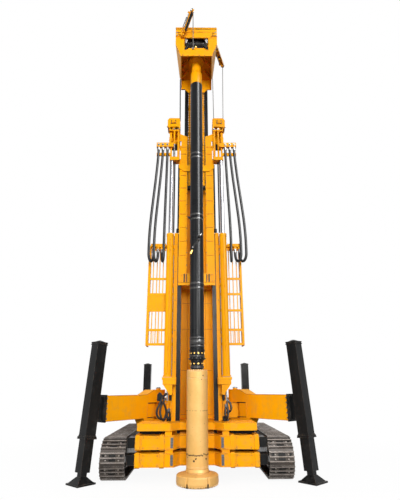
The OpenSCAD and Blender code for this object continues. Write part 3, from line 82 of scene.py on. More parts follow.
class Wire:
    # One output socket of a node tree, with arithmetic that adds the nodes it needs.
    def __init__(self, tree, socket=None):
        self.tree = tree
        self.socket = socket

    def node(self, kind, output=0, inputs=None, **settings):
        plain = kind.startswith(("GeometryNode", "FunctionNode"))
        made = self.tree.nodes.new(kind if plain else "ShaderNode" + kind)
        for name, value in settings.items():
            setattr(made, name, value)
        for key, value in (inputs or {}).items():
            target = made.inputs[key]
            for item in value if isinstance(value, list) else [value]:
                if isinstance(item, Wire):
                    self.tree.links.new(item.socket, target)
                else:
                    target.default_value = item
        return Wire(self.tree, made.outputs[output])

    def shape(self, kind, inputs=None, **settings):
        # A geometry node by its short name.
        return self.node("GeometryNode" + kind, 0, inputs, **settings)

    def math(self, operation, other=0.0):
        return self.node("Math", inputs={0: self, 1: other}, operation=operation)

    def __add__(self, other):
        return self.math("ADD", other)

    def __mul__(self, other):
        return self.math("MULTIPLY", other)

    __radd__ = __add__
    __rmul__ = __mul__

    def __sub__(self, other):
        return self.math("SUBTRACT", other)

    def __rsub__(self, other):
        return self.node("Math", inputs={0: other, 1: self}, operation="SUBTRACT")

    def __truediv__(self, other):
        return self.math("DIVIDE", other)

    def clamped(self):
        return self.node("Math", inputs={0: self, 1: 0.0}, operation="ADD", use_clamp=True)

    def ramp(self, low, high):
        return self.node("MapRange", inputs={"Value": self, "From Min": low, "From Max": high})

    def mixed(self, first, second):
        # The two colours blended by this value.
        return self.node("Mix", 2, {0: self, 6: first, 7: second}, data_type="RGBA")


def newMaterial(name):
    # A material, its tree, and the place on the machine that its patterns follow.
    material = bpy.data.materials.new(name)
    material.use_nodes = True
    tree = Wire(material.node_tree)
    return material, tree, tree.node("TexCoord", 3)


def noise(tree, where, scale, detail=4.0, roughness=0.55, distortion=0.0):
    sizes = {"Scale": scale, "Detail": detail, "Roughness": roughness, "Distortion": distortion}
    return tree.node("TexNoise", 0, {"Vector": where, **sizes})


def stretched(tree, where, scale):
    return tree.node("VectorMath", inputs={0: where, 1: scale}, operation="MULTIPLY")


def finish(material, tree, colour, roughness, bump=None, **fixed):
    # Joins the values to the material's shader. Fixed numbers go straight onto its sockets.
    shader = material.node_tree.nodes["Principled BSDF"]
    links = material.node_tree.links
    for name, value in {"Base_Color": colour, "Roughness": roughness, **fixed}.items():
        target = shader.inputs[name.replace("_", " ")]
        if isinstance(value, Wire):
            links.new(value.socket, target)
        else:
            target.default_value = value
    if bump:
        height, strength, distance = bump
        relief = tree.node("Bump", 0, {"Height": height, "Strength": strength, "Distance": distance})
        links.new(relief.socket, shader.inputs["Normal"])
    return material


def worn(tree, where):
    # How much an edge is rubbed, from the difference between the bevelled and true normals.
    soft = tree.node("Bevel", 0, {"Radius": 0.012}, samples=4)
    plain = tree.node("NewGeometry", 1)
    away = tree.node("VectorMath", 1, {0: soft, 1: plain}, operation="DISTANCE")
    broken = noise(tree, where, 9.0, 6.0)
    return (away * broken.ramp(0.35, 0.7)).ramp(0.12, 0.5)


def rubbed(tree, where, share, colour, bare):
    # The colour, rubbed down to the bare one at the edges.
    return (worn(tree, where) * share).clamped().mixed(colour, bare)


def paint(name, colour, shade, dust, gloss=0.34, specular=0.05, undersideShade=None):
    # Gloss paint with slight unevenness, faint dust low down and rubbed edges. Given an underside colour,
    # faces that point down are darkened towards it as painted shade.
    material, tree, where = newMaterial(name)
    height = tree.node("SeparateXYZ", 2, {0: where})
    blotch = noise(tree, where, 1.6, 5.0).ramp(0.3, 0.7)
    streak = noise(tree, stretched(tree, where, (14, 14, 0.9)), 1.0, 3.0).ramp(0.45, 0.8)
    grime = noise(tree, where, 7.0, 8.0, 0.65).ramp(0.5, 0.78)
    base = blotch.mixed(colour, shade)
    low = height.node("MapRange", 0, {"Value": height, "From Min": 2.2, "From Max": 0.2})
    dirty = (grime * low * 0.55 + streak * 0.12).clamped()
    painted = dirty.mixed(base, dust)
    # painted shade: faces that point down are mixed towards the darker underside colour
    if undersideShade:
        down = tree.node("SeparateXYZ", 2, {0: tree.node("TexCoord", 1)})
        below = tree.node("MapRange", 0, {"Value": down, "From Min": -0.45, "From Max": -0.95})
        painted = (below * 0.75).mixed(painted, undersideShade)
    shown = rubbed(tree, where, 0.6, painted, (0.16, 0.12, 0.09, 1))
    rough = grime * 0.22 + gloss + dirty * 0.3
    ripple = noise(tree, where, 38.0, 3.0) * 0.4 + noise(tree, where, 3.0, 2.0)
    return finish(material, tree, shown, rough, (ripple, 0.05, 0.02), Specular_IOR_Level=specular)


def steel(name, light, dark, rough, metallic=1.0, grain=(1, 1, 14)):
    # Bare metal with fine machining lines and duller patches.
    material, tree, where = newMaterial(name)
    lines = noise(tree, stretched(tree, where, grain), 22.0, 6.0)
    patch = noise(tree, where, 5.0, 6.0, 0.6).ramp(0.35, 0.75)
    colour = patch.mixed(light, dark)
    dull = lines * 0.16 + rough + patch * 0.12
    return finish(material, tree, colour, dull, (lines, 0.05, 0.004), Metallic=metallic)


def soil(name, metal, earth, amount):
    # Worn steel with dry soil in its hollows.
    material, tree, where = newMaterial(name)
    broad = noise(tree, where, 3.2, 8.0, 0.65)
    fine = noise(tree, where, 46.0, 8.0, 0.7)
    cover = (broad * 0.7 + fine * 0.5).ramp(0.52 - amount * 0.16, 0.78 - amount * 0.16)
    colour = cover.mixed(metal, earth)
    streaky = (fine.ramp(0.4, 0.75) * 0.5).clamped().mixed(colour, (0.045, 0.035, 0.03, 1))
    shown = rubbed(tree, where, 0.8, streaky, (0.34, 0.30, 0.27, 1))
    return finish(material, tree, shown, cover * 0.35 + 0.45, (broad + fine, 0.35, 0.01), Metallic=0.35)


def rubber(name, colour, dust):
    material, tree, where = newMaterial(name)
    fine = noise(tree, where, 60.0, 4.0)
    haze = noise(tree, where, 4.0, 6.0).ramp(0.45, 0.8) * 0.35
    dusty = haze.clamped().mixed(colour, dust)
    return finish(material, tree, dusty, fine * 0.2 + 0.36, (fine, 0.12, 0.002), Specular_IOR_Level=0.22)


def coated(name, colour, shade):
    # Smooth black coat of the drill pipe, with faint turning rings and dull patches.
    material, tree, where = newMaterial(name)
    cloud = noise(tree, where, 2.4, 6.0).ramp(0.35, 0.75)
    rings = noise(tree, stretched(tree, where, (0.2, 0.2, 30)), 1.0, 4.0).ramp(0.55, 0.75)
    rough = cloud * 0.08 + rings * 0.10 + 0.27
    return finish(material, tree, cloud.mixed(colour, shade), rough, Specular_IOR_Level=0.10)


def forged(name, colour, shade, bare):
    # The hammer's dull gold coat, scuffed down to darker metal in short strokes.
    material, tree, where = newMaterial(name)
    cloud = noise(tree, where, 3.0, 7.0, 0.6).ramp(0.3, 0.72)
    strokes = noise(tree, stretched(tree, where, (9, 9, 30)), 1.4, 8.0, 0.7).ramp(0.6, 0.74)
    colour = (strokes * 0.55).clamped().mixed(cloud.mixed(colour, shade), bare)
    shown = rubbed(tree, where, 0.7, colour, (0.95, 0.80, 0.58, 1))
    relief = (noise(tree, where, 30.0, 8.0) + strokes * 0.6, 0.16, 0.006)
    return finish(material, tree, shown, cloud * 0.12 + 0.38, relief, Metallic=0.1, Specular_IOR_Level=0.3)


finishes = {
    # the yellow's darker underside colour is painted shade on faces that point down
    "yellow": paint("yellow_paint", (0.93, 0.405, 0.002, 1), (0.89, 0.36, 0.002, 1),
                    (0.36, 0.22, 0.09, 1), undersideShade=(0.40, 0.105, 0.001, 1)),
    "black": paint("black_paint", (0.0055, 0.0058, 0.006, 1), (0.009, 0.0092, 0.0095, 1),
                   (0.045, 0.041, 0.037, 1), 0.28, 0.12),
    "track": soil("track_steel", (0.018, 0.015, 0.013, 1), (0.058, 0.043, 0.032, 1), 0.3),
    "steel": steel("bare_steel", (0.26, 0.255, 0.245, 1), (0.12, 0.115, 0.11, 1), 0.32),
    "chrome": steel("rod_chrome", (0.27, 0.27, 0.285, 1), (0.19, 0.19, 0.20, 1), 0.2, 1.0, (4, 4, 0.3)),
    "bronze": forged("hammer_bronze", (0.80, 0.47, 0.15, 1), (0.68, 0.37, 0.09, 1), (0.26, 0.15, 0.06, 1)),
    "rubber": rubber("hose_rubber", (0.010, 0.010, 0.0105, 1), (0.055, 0.052, 0.05, 1)),
    "casting": soil("engine_grey", (0.16, 0.16, 0.17, 1), (0.09, 0.075, 0.06, 1), 0.3),
    "pipe": coated("pipe_black", (0.005, 0.0055, 0.0065, 1), (0.010, 0.0105, 0.012, 1)),
    "rope": steel("rope_wire", (0.085, 0.075, 0.062, 1), (0.045, 0.040, 0.034, 1), 0.6, 0.1, (1, 1, 60)),
    "darkRope": steel("wound_rope", (0.075, 0.07, 0.065, 1), (0.03, 0.028, 0.026, 1), 0.45, 0.5, (40, 1, 1)),
    "gold": steel("brass_plating", (0.86, 0.58, 0.16, 1), (0.55, 0.34, 0.08, 1), 0.34, 0.85),
    # umber marks real chips and weld dots, and is also painted shade in slots, hollows, flutes and beside the
    # barrels
    "umber": paint("umber_scuffs_and_shade", (0.030, 0.016, 0.008, 1), (0.055, 0.028, 0.012, 1),
                   (0.10, 0.07, 0.05, 1), 0.6, 0.1),
    "steelDark": steel("grey_steel", (0.11, 0.11, 0.115, 1), (0.055, 0.055, 0.06, 1), 0.34, 0.8),
    "ochre": paint("dull_ochre", (0.62, 0.22, 0.004, 1), (0.50, 0.17, 0.004, 1),
                   (0.30, 0.18, 0.08, 1), 0.5, 0.1),
    "wornSteel": soil("worn_steel", (0.24, 0.21, 0.19, 1), (0.15, 0.115, 0.085, 1), 0.1),
    "satin": paint("satin_black", (0.012, 0.012, 0.012, 1), (0.018, 0.017, 0.016, 1),
                   (0.10, 0.08, 0.06, 1), 0.28, 0.4),
}

slotFinish = {
    "yellow_paint": "yellow",
    "black_paint": "black",
    "track_steel": "track",
    "bare_steel": "steel",
    "rod_chrome": "chrome",
    "hammer_bronze": "bronze",
    "hose_rubber": "rubber",
    "engine_grey": "casting",
}
finishSlot = {finishName: slotName for slotName, finishName in slotFinish.items()}

# Nodes whose finish isn't their slot's.
ownFinish = {"drill_pipe": "pipe", "wear_plates": "steelDark"}


def dressNodes():
    for part in frame["record"]["subparts"]:
        mesh = frame["nodes"][part["node"]].data
        chosen = finishes[ownFinish.get(part["node"], slotFinish[part["material_slot"]])]
        mesh.materials.clear()
        mesh.materials.append(chosen)


dressNodes()
print("nodes dressed")


socketKinds = {float: "NodeSocketFloat", int: "NodeSocketInt", tuple: "NodeSocketVector"}


def newTree(name, **sizes):
    # A geometry tree with one named input for each size, and a wire from each of them.
    tree = bpy.data.node_groups.new(name, "GeometryNodeTree")
    for way in ("INPUT", "OUTPUT"):
        tree.interface.new_socket("Geometry", in_out=way, socket_type="NodeSocketGeometry")
    for label, value in sizes.items():
        kind = socketKinds[type(value)]
        socket = tree.interface.new_socket(label, in_out="INPUT", socket_type=kind)
        socket.default_value = value
    tree.interface.new_socket("finish", in_out="INPUT", socket_type="NodeSocketMaterial")
    given = tree.nodes.new("NodeGroupInput")
    return Wire(tree), {item.name: Wire(tree, item) for item in given.outputs if item.name}


def closeTree(grow, wires, geometry, smooth=True):
    real = grow.shape("RealizeInstances", {0: geometry})
    shaded = grow.shape("SetShadeSmooth", {"Geometry": real, "Shade Smooth": smooth})
    painted = grow.shape("SetMaterial", {"Geometry": shaded, "Material": wires["finish"]})
    output = grow.tree.nodes.new("NodeGroupOutput")
    grow.tree.links.new(painted.socket, output.inputs[0])
    return grow.tree


def vector(grow, x=0.0, y=0.0, z=0.0):
    return grow.node("CombineXYZ", 0, {0: x, 1: y, 2: z})


def moved(grow, geometry, x=0.0, y=0.0, z=0.0):
    return grow.shape("Transform", {"Geometry": geometry, "Translation": vector(grow, x, y, z)})


def drum(grow, sides, radius, depth, low):
    # A cylinder that stands on the height low.
    made = grow.shape("MeshCylinder", {"Vertices": sides, "Radius": radius, "Depth": depth})
    return moved(grow, made, z=depth * 0.5 + low)


def onPoints(grow, wires, piece, **more):
    return grow.shape("InstanceOnPoints", {"Points": wires["Geometry"], "Instance": piece, **more})


def onFacingPoints(grow, wires, parts, **settings):
    # The joined parts on every point of the input, turned to the point's own direction.
    joined = grow.shape("JoinGeometry", {0: parts})
    way = grow.shape("InputNamedAttribute", {"Name": "facing"}, data_type="FLOAT_VECTOR")
    turn = grow.node("FunctionNodeAlignRotationToVector", 0, {"Vector": way}, axis="Z", **settings)
    return closeTree(grow, wires, onPoints(grow, wires, joined, Rotation=turn), False)


def makeBoltTree():
    # A hexagon head on a round washer.
    grow, wires = newTree("bolt heads", radius=0.012, height=0.009, washer=0.003)
    radius, height, washer = (wires[label] for label in ("radius", "height", "washer"))
    return onFacingPoints(grow, wires, [
        drum(grow, 6, radius, height, washer),
        drum(grow, 10, radius * 0.62, height * 0.22, washer + height),
        drum(grow, 14, radius * 1.42, washer, 0.0),
    ])


def makeFittingTree():
    # A crimped sleeve, a hexagon nut and a neck, on a hose's end.
    grow, wires = newTree("hose fittings", radius=0.03, length=0.11)
    parts = []
    for corners, wide, deep, low in (
        (16, 1.16, 0.5, 0.0), (16, 1.24, 0.06, 0.08), (16, 1.24, 0.06, 0.36),
        (6, 1.3, 0.24, 0.56), (16, 0.7, 0.5, 0.5),
    ):
        length = wires["length"]
        parts.append(drum(grow, corners, wires["radius"] * wide, length * deep, length * low))
    return onFacingPoints(grow, wires, parts)


def makeTubeTree():
    # A round tube along each smoothed path.
    grow, wires = newTree("tubes", radius=0.01, sides=12, step=0.05)
    path = grow.shape("MeshToCurve", {"Mesh": wires["Geometry"]})
    smooth = grow.shape("CurveSplineType", {"Curve": path}, spline_type="CATMULL_ROM")
    even = grow.shape("ResampleCurve", {"Curve": smooth, "Length": wires["step"]}, mode="LENGTH")
    ring = grow.shape("CurvePrimitiveCircle", {"Resolution": wires["sides"], "Radius": wires["radius"]})
    skin = grow.shape("CurveToMesh", {"Curve": even, "Profile Curve": ring, "Fill Caps": True})
    return closeTree(grow, wires, skin)


def makeRowTree():
    # A row of equal blocks from every point of the input.
    grow, wires = newTree("rows of blocks", count=8, step=(0.0, 0.0, 0.05), size=(0.1, 0.01, 0.01))
    block = grow.shape("MeshCube", {"Size": wires["size"]})
    line = grow.shape("MeshLine", {"Count": wires["count"], "Offset": wires["step"]}, mode="OFFSET")
    row = grow.shape("InstanceOnPoints", {"Points": line, "Instance": block})
    return closeTree(grow, wires, onPoints(grow, wires, row), False)


def makeWindingTree():
    # Rope wound in a helix along X.
    grow, wires = newTree("rope winding", turns=20.0, radius=0.1, rope=0.007, width=0.3)
    radius = wires["radius"]
    width = wires["width"]
    sizes = {"Resolution": 24, "Rotations": wires["turns"], "Start Radius": radius, "End Radius": radius}
    spiral = grow.shape("CurveSpiral", {**sizes, "Height": width})
    ring = grow.shape("CurvePrimitiveCircle", {"Resolution": 7, "Radius": wires["rope"]})
    skin = grow.shape("CurveToMesh", {"Curve": spiral, "Profile Curve": ring, "Fill Caps": True})
    centred = moved(grow, skin, z=width * -0.5)
    lying = grow.shape("Transform", {"Geometry": centred, "Rotation": (0, math.pi / 2, 0)})
    return closeTree(grow, wires, onPoints(grow, wires, lying))


def makeShoeTree():
    # Worn bar tops and bolt heads of one track shoe, on every point.
    grow, wires = newTree("shoe details", width=0.44, pitch=0.145, rise=0.026, bar=0.012)
    width, pitch, rise = (wires[label] for label in ("width", "pitch", "rise"))
    parts = []
    for share in (-1 / 3, 0, 1 / 3):
        top = grow.shape("MeshCube", {"Size": vector(grow, width, wires["bar"], rise * 0.12)})
        parts.append(moved(grow, top, 0.0, pitch * share, rise * 1.0))
    bolt = grow.shape("MeshCylinder", {"Vertices": 6, "Radius": 0.013, "Depth": 0.014})
    parts += [moved(grow, bolt, width * x, pitch * y, 0.006) for x in (-0.27, 0.27) for y in (-1 / 6, 1 / 6)]
    return onFacingPoints(grow, wires, parts, pivot_axis="X")


def makeHollowShadeTree():
    # Black blocks in the hollows between a shoe's bars, two in the middle and one near each end: painted
    # shade.
    grow, wires = newTree("shoe hollows", width=0.44, pitch=0.145, rise=0.004)
    width, pitch, rise = (wires[label] for label in ("width", "pitch", "rise"))
    parts = []
    for x, y, wide in ((0, -1 / 6, 0.30), (0, 1 / 6, 0.30), (-0.37, 1 / 6, 0.12), (0.37, 1 / 6, 0.12)):
        block = grow.shape("MeshCube", {"Size": vector(grow, width * wide, pitch * 0.2, rise)})
        parts.append(moved(grow, block, width * x, pitch * y, 0.0025))
    return onFacingPoints(grow, wires, parts, pivot_axis="X")


boltTree = makeBoltTree()
fittingTree = makeFittingTree()
tubeTree = makeTubeTree()
rowTree = makeRowTree()
windingTree = makeWindingTree()
shoeTree = makeShoeTree()
hollowShadeTree = makeHollowShadeTree()
print("geometry trees made")


leftRight = (("left", -1), ("right", 1))
ahead = (0, -1, 0)


def assigned(piece, body, finishName):
    if body:
        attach(piece, body)
    finishName in finishSlot
    return piece


def grown(name, body, tree, seeds, finishName, **sizes):
    # What the tree makes of the seeds, as a plain mesh that rides on one body.
    piece = bpy.data.objects.new(name, seeds)
    bpy.context.scene.collection.objects.link(piece)
    modifier = piece.modifiers.new("grown", "NODES")
    modifier.node_group = tree
    sockets = {item.name: item.identifier for item in tree.interface.items_tree if item.in_out == "INPUT"}
    for label, value in sizes.items():
        modifier[sockets[label]] = value
    modifier[sockets["finish"]] = finishes[finishName]
    bpy.context.view_layer.update()
    graph = bpy.context.evaluated_depsgraph_get()
    shape = bpy.data.meshes.new_from_object(piece.evaluated_get(graph))
    piece.modifiers.clear()
    shape.name = name
    piece.data = shape
    return assigned(piece, body, finishName)


def seedPoints(spots):
    # Loose points, each with the direction that it faces.
    seeds = bpy.data.meshes.new("seeds")
    seeds.from_pydata([place for place, way in spots], [], [])
    ways = seeds.attributes.new("facing", "FLOAT_VECTOR", "POINT")
    for index, (place, way) in enumerate(spots):
        ways.data[index].vector = way
    return seeds


def seedPaths(paths):
    # Open chains of points.
    seeds = bpy.data.meshes.new("seeds")
    points = []
    edges = []
    for path in paths:
        first = len(points)
        points += [tuple(point) for point in path]
        edges += [(first + i, first + i + 1) for i in range(len(path) - 1)]
    seeds.from_pydata(points, edges, [])
    return seeds


def bolts(name, body, spots, finishName="steel", radius=0.012, height=0.009, washer=0.003):
    seeds = seedPoints(spots)
    return grown(name, body, boltTree, seeds, finishName, radius=radius, height=height, washer=washer)


def fittings(name, body, spots, finishName, radius, length):
    return grown(name, body, fittingTree, seedPoints(spots), finishName, radius=radius, length=length)


def tubes(name, body, paths, radius, finishName, sides=12, step=0.05):
    seeds = seedPaths(paths)
    return grown(name, body, tubeTree, seeds, finishName, radius=radius, sides=sides, step=step)


def rows(name, body, starts, count, step, size, finishName):
    seeds = seedPoints([(start, (0, 0, 1)) for start in starts])
    return grown(name, body, rowTree, seeds, finishName, count=count, step=step, size=size)


def facing(way, places):
    # Bolt places that all face one way.
    return [(place, way) for place in places]


def bothSides(spots):
    # Bolt places with their directions, on the right and on the left.
    return spots + [((-x, y, z), (-u, v, w)) for (x, y, z), (u, v, w) in spots]


def along(axis, a, b, t):
    # A point t along the axis, and a and b across it.
    point = [a, b]
    point.insert("XYZ".index(axis), t)
    return tuple(point)


edgeStyle = {"width": 0.003, "smoothBelow": 35, "bevelAbove": 40, "segments": 2}


class Form:
    # Solids gathered in one mesh.
    def __init__(self, place=None):
        self.mesh = bmesh.new()
        self.place = place or Matrix.Identity(4)

    def solid(self, rings):
        # Joins rings of points one after the other, and caps the two ends.
        made = [[self.mesh.verts.new(self.place @ Vector(point)) for point in ring] for ring in rings]
        count = len(made[0])
        for low, high in zip(made, made[1:]):
            for i in range(count):
                k = (i + 1) % count
                self.mesh.faces.new((low[i], low[k], high[k], high[i]))
        self.mesh.faces.new(made[0][::-1])
        self.mesh.faces.new(made[-1])
        return self

    def box(self, low, high):
        (a, b, c), (d, e, f) = low, high
        return self.solid([[(a, b, z), (d, b, z), (d, e, z), (a, e, z)] for z in (c, f)])

    def prism(self, outline, axis, low, high):
        # An outline in the plane across the axis, from low to high along it.
        return self.solid([[along(axis, a, b, t) for a, b in outline] for t in (low, high)])

    def turned(self, profile, centre, axis="Z", steps=40):
        # A profile of radius and height, turned about an axis through the centre.
        rings = []
        for radius, height in profile:
            ring = []
            for i in range(steps):
                angle = 2 * math.pi * i / steps
                offset = along(axis, radius * math.cos(angle), radius * math.sin(angle), height)
                ring.append(tuple(c + o for c, o in zip(centre, offset)))
            rings.append(ring)
        return self.solid(rings)

    def both(self):
        # Adds the mirror image of all so far, on the other side of the centre plane.
        mesh = self.mesh
        copy = bmesh.ops.duplicate(mesh, geom=mesh.verts[:] + mesh.edges[:] + mesh.faces[:])
        for item in copy["geom"]:
            if isinstance(item, bmesh.types.BMVert):
                item.co.x = -item.co.x
        return self

    def done(self, name, body, finishName, bevel=edgeStyle["width"]):
        bmesh.ops.recalc_face_normals(self.mesh, faces=self.mesh.faces[:])
        shape = bpy.data.meshes.new(name)
        self.mesh.to_mesh(shape)
        self.mesh.free()
        for face in shape.polygons:
            face.use_smooth = True
        shape.set_sharp_from_angle(angle=math.radians(edgeStyle["smoothBelow"]))
        shape.materials.append(finishes[finishName])
        piece = bpy.data.objects.new(name, shape)
        bpy.context.scene.collection.objects.link(piece)
        if bevel:
            edge = piece.modifiers.new("edges", "BEVEL")
            edge.width = bevel
            edge.segments = edgeStyle["segments"]
            edge.limit_method = "ANGLE"
            edge.angle_limit = math.radians(edgeStyle["bevelAbove"])
            edge.harden_normals = True
        return assigned(piece, body, finishName)


def boxes(name, body, finishName, bevel, spans, mirror=False, place=None):
    # One piece of plain boxes, each from its low corner to its high one.
    form = Form(place)
    for low, high in spans:
        form.box(low, high)
    if mirror:
        form.both()
    return form.done(name, body, finishName, bevel)


def lathed(name, body, finishName, profiles, centre, axis, steps):
    # One piece of turned profiles about the same axis.
    form = Form()
    for profile in profiles:
        form.turned(profile, centre, axis, steps)
    return form.done(name, body, finishName, 0.0)


ropes = {
    "radius": 0.0095,
    "frontTip": (-0.078, -2.955, 10.0),
    "roller": (-0.078, -2.585, 9.30),
    "underRoller": [(-0.078, -2.567, 9.272), (-0.078, -2.535, 9.29)],
    "guard": (-0.078, -2.515, 9.372),
    "drum": (-0.07, -2.40, 9.70),
    "sideTip": (0.7314, -1.292, 9.955),
    "sideFoot": (0.70, -1.285, 8.17),
    "backTop": (0.448, -1.30, 9.54),
    "backFoot": (0.455, -1.30, 8.21),
    "leadTop": (-0.431, -1.30, 9.51),
    "leadFoot": (-0.421, -1.30, 8.15),
    "leadRadius": 0.0145,
}


def straight(first, last, steps=12):
    a = Vector(first)
    b = Vector(last)
    return [a.lerp(b, i / steps) for i in range(steps + 1)]


def makeRopes():
    front = straight(ropes["frontTip"], ropes["roller"])
    front += [*ropes["underRoller"], ropes["guard"], ropes["drum"]]
    hoist = tubes("hoist_rope_front", None, [front], ropes["radius"], "rope", 8, 0.06)
    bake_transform(hoist)
    side = straight(ropes["sideTip"], ropes["sideFoot"], 20)
    sideRope = tubes("hoist_rope_side", "jib_right", [side], ropes["radius"] * 0.9, "rope", 8, 0.1)
    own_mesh(sideRope)
    for name, top, foot, radius, kind in (
        ("stay_rope", "backTop", "backFoot", ropes["radius"], "rope"),
        ("drive_lead", "leadTop", "leadFoot", ropes["leadRadius"], "rubber"),
    ):
        line = tubes(name, None, [straight(ropes[top], ropes[foot], 20)], radius, kind, 10, 0.1)
        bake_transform(line)


hoses = {
    "radius": 0.0305,
    "tops": (0.706, 0.817, 0.922),
    "bulges": (0.732, 0.950, 1.065),
    "clips": (0.780, 0.872, 0.970),
    "front": -1.61,
    "back": -1.48,
    "manifold": 7.15,
    "lowest": 4.246,
    "bend": 0.18,
    "clipHeight": 4.54,
    "rightBulge": 0.04,
    # how much of the bulge is reached at each drop below the manifold
    "fall": [(0, 0), (0, 0.09), (0.03, 0.24), (0.08, 0.39), (0.18, 0.62), (0.32, 0.91), (0.62, 1.45),
             (0.88, 1.95), (1, 2.37)],
}


def hosePath(side, top, bulge, clip):
    # Down from the manifold, round a half circle and up to the clip behind.
    front = hoses["front"]
    points = []
    for share, drop in hoses["fall"]:
        points.append((side * (top + (bulge - top) * share), front, hoses["manifold"] - drop))
    for i in range(7):
        angle = math.radians(30 * i)
        points.append((
            side * ((bulge + clip) / 2 + (bulge - clip) / 2 * math.cos(angle)),
            front + (hoses["back"] - front) * (1 - math.cos(angle)) / 2,
            hoses["lowest"] + hoses["bend"] - hoses["bend"] * math.sin(angle),
        ))
    points.append((side * clip, hoses["back"], hoses["clipHeight"]))
    return points


def makeHoses():
    front = hoses["front"]
    for label, side in leftRight:
        more = hoses["rightBulge"] if side > 0 else 0.0
        sets = zip(hoses["tops"], hoses["bulges"], hoses["clips"])
        paths = [hosePath(side, top, bulge + more, clip) for top, bulge, clip in sets]
        skins = tubes("pressure_hoses_" + label, None, paths, hoses["radius"], "rubber", 16, 0.035)
        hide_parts("hoses_" + label)
        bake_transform(skins)
        ends = facing((0, 0, 1), [(side * top, front, hoses["manifold"] - 0.085) for top in hoses["tops"]])
        fittings("hose_fittings_top_" + label, "mast_mid", ends, "steel", 0.031, 0.13)
        high = hoses["manifold"] + 0.06
        plugs = facing(ahead, [(side * top, front - 0.036, high) for top in hoses["tops"]])
        bolts("manifold_plugs_" + label, "mast_mid", plugs, "steel", 0.022, 0.02, 0.006)
        low = hoses["clipHeight"] - 0.075
        ends = facing((0, 0, 1), [(side * clip, hoses["back"], low) for clip in hoses["clips"]])
        fittings("hose_fittings_low_" + label, "mast_base", ends, "steel", 0.030, 0.115)


makeRopes()
makeHoses()
print("ropes and hoses made")


# The cradle's and the strap's heights are above the window's lower edge.
head = {
    "front": -2.55,
    "top": 9.947,
    "halfWidth": 0.502,
    "windowLow": 9.248,
    "drum": (0.0, -2.29, 9.712),
    "layers": (0.083, 0.1),
    "ropeRadius": 0.0085,
    "slots": (0.266, 0.2),
    "strips": ((0.496, 0.004, 0.001, 0.052, 0.040), (0.500, 0.012, 0.0, 0.0085, 0.0005)),
    "rim": [(0.188, 0.262), (0.197, 0.258), (0.199, 0.246), (0.197, 0.234), (0.188, 0.230),
            (0.150, 0.2265), (0.135, 0.222), (0.135, 0.2640)],
    "cradle": [(-0.286, -0.012), (-0.262, 0.012), (-0.204, 0.118), (-0.150, 0.165), (-0.158, 0.205),
               (-0.190, 0.235), (-0.232, 0.232), (-0.258, 0.170), (-0.268, 0.105), (-0.286, 0.055)],
    "strap": [(-0.272, 0.235), (-0.232, 0.252), (-0.205, 0.330), (-0.232, 0.372), (-0.272, 0.372)],
    "eye": [(0.0, -2.534), (0.017, -2.534), (0.022, -2.528), (0.022, -2.514), (0.017, -2.508), (0.0, -2.508)],
    "roller": [(0.0, -0.102), (0.024, -0.102), (0.024, -0.096), (0.015, -0.090), (0.015, -0.066),
               (0.024, -0.060), (0.024, -0.054), (0.0, -0.054)],
}


def makeHead():
    low = head["windowLow"]
    top = head["top"]
    front = head["front"]
    half = head["halfWidth"]
    # rope layers on the drum, and its pressed rim plates
    seeds = seedPoints([(head["drum"], (0, 0, 1))])
    for layer, radius in enumerate(head["layers"]):
        grown(f"rope_layer_{layer + 1}", "winch", windingTree, seeds.copy(), "darkRope",
              turns=18.0, radius=radius, rope=head["ropeRadius"], width=0.345)
    rims = Form()
    for side in (-1, 1):
        rims.turned([(radius, side * x) for radius, x in head["rim"]][::side], head["drum"], "X", 48)
    rims.done("drum_rims", "winch", "steel", 0.002)
    # black cradle plates in the window's lower corners and a bar under the drum; the corner plates are partly
    # painted shade beside the guard
    cradle = Form()
    cradle.prism([(x, low + z) for x, z in head["cradle"]], "Y", front + 0.018, front + 0.040).both()
    cradle.box((-0.175, front + 0.052, low + 0.112), (0.175, front + 0.062, low + 0.150))
    cradle.done("drum_cradle_and_corner_shade", "mast_top", "black", 0.004)
    strap = Form().prism([(x, low + z) for x, z in head["strap"]], "Y", front + 0.021, front + 0.034)
    strap.both().done("drum_straps", "mast_top", "steel", 0.003)
    lathed("guard_eye_bolt", "mast_top", "gold", [head["eye"]], (-0.012, 0, low + 0.122), "Y", 20)
    lathed("rope_roller", "mast_top", "steel", [head["roller"]], (0, -2.561, 9.283), "X", 24)
    # painted shade on the floors of the lugs' slots, and painted shadow lines under and over the top strip
    slots = Form()
    for drop in head["slots"]:
        z = top - drop
        slots.box((half - 0.125, front - 0.0072, z), (half - 0.05, front - 0.0055, z + 0.026))
    slots.both()
    for wide, near, far, low, high in head["strips"]:
        slots.box((-wide, front - near, top - low), (wide, front + far, top - high))
    slots.done("slot_and_strip_shade", "mast_top", "umber", 0.0)
    lugs = facing(ahead, [(0.470, front - 0.022, top - drop) for drop in (0.176, 0.262)])
    bolts("lug_bolts", "mast_top", bothSides(lugs), "steel", 0.012, 0.008)
    edge = facing(ahead, [(-0.33 + 0.132 * i, front - 0.008, top - 0.870) for i in range(6)])
    bolts("head_edge_bolts", "mast_top", edge, "yellow", 0.011, 0.007)


jibs = {
    "left": {"pin": (-0.33, -2.62, 9.68), "turn": -54.2, "rise": 48.4, "reach": 0.473, "side": -1},
    "right": {"pin": (0.43, -2.17, 10.009), "turn": 71.3, "rise": 0.0, "reach": 0.860, "side": 1},
    "halfWidth": 0.0315,
    "tipRadius": 0.0434,
    "cylinder": 0.062,
    "sheave": [(0.030, -0.0178), (0.0520, -0.0176), (0.0522, -0.0140), (0.0440, -0.0050),
               (0.0440, 0.0050), (0.0522, 0.0140), (0.0520, 0.0176), (0.030, 0.0178)],
}


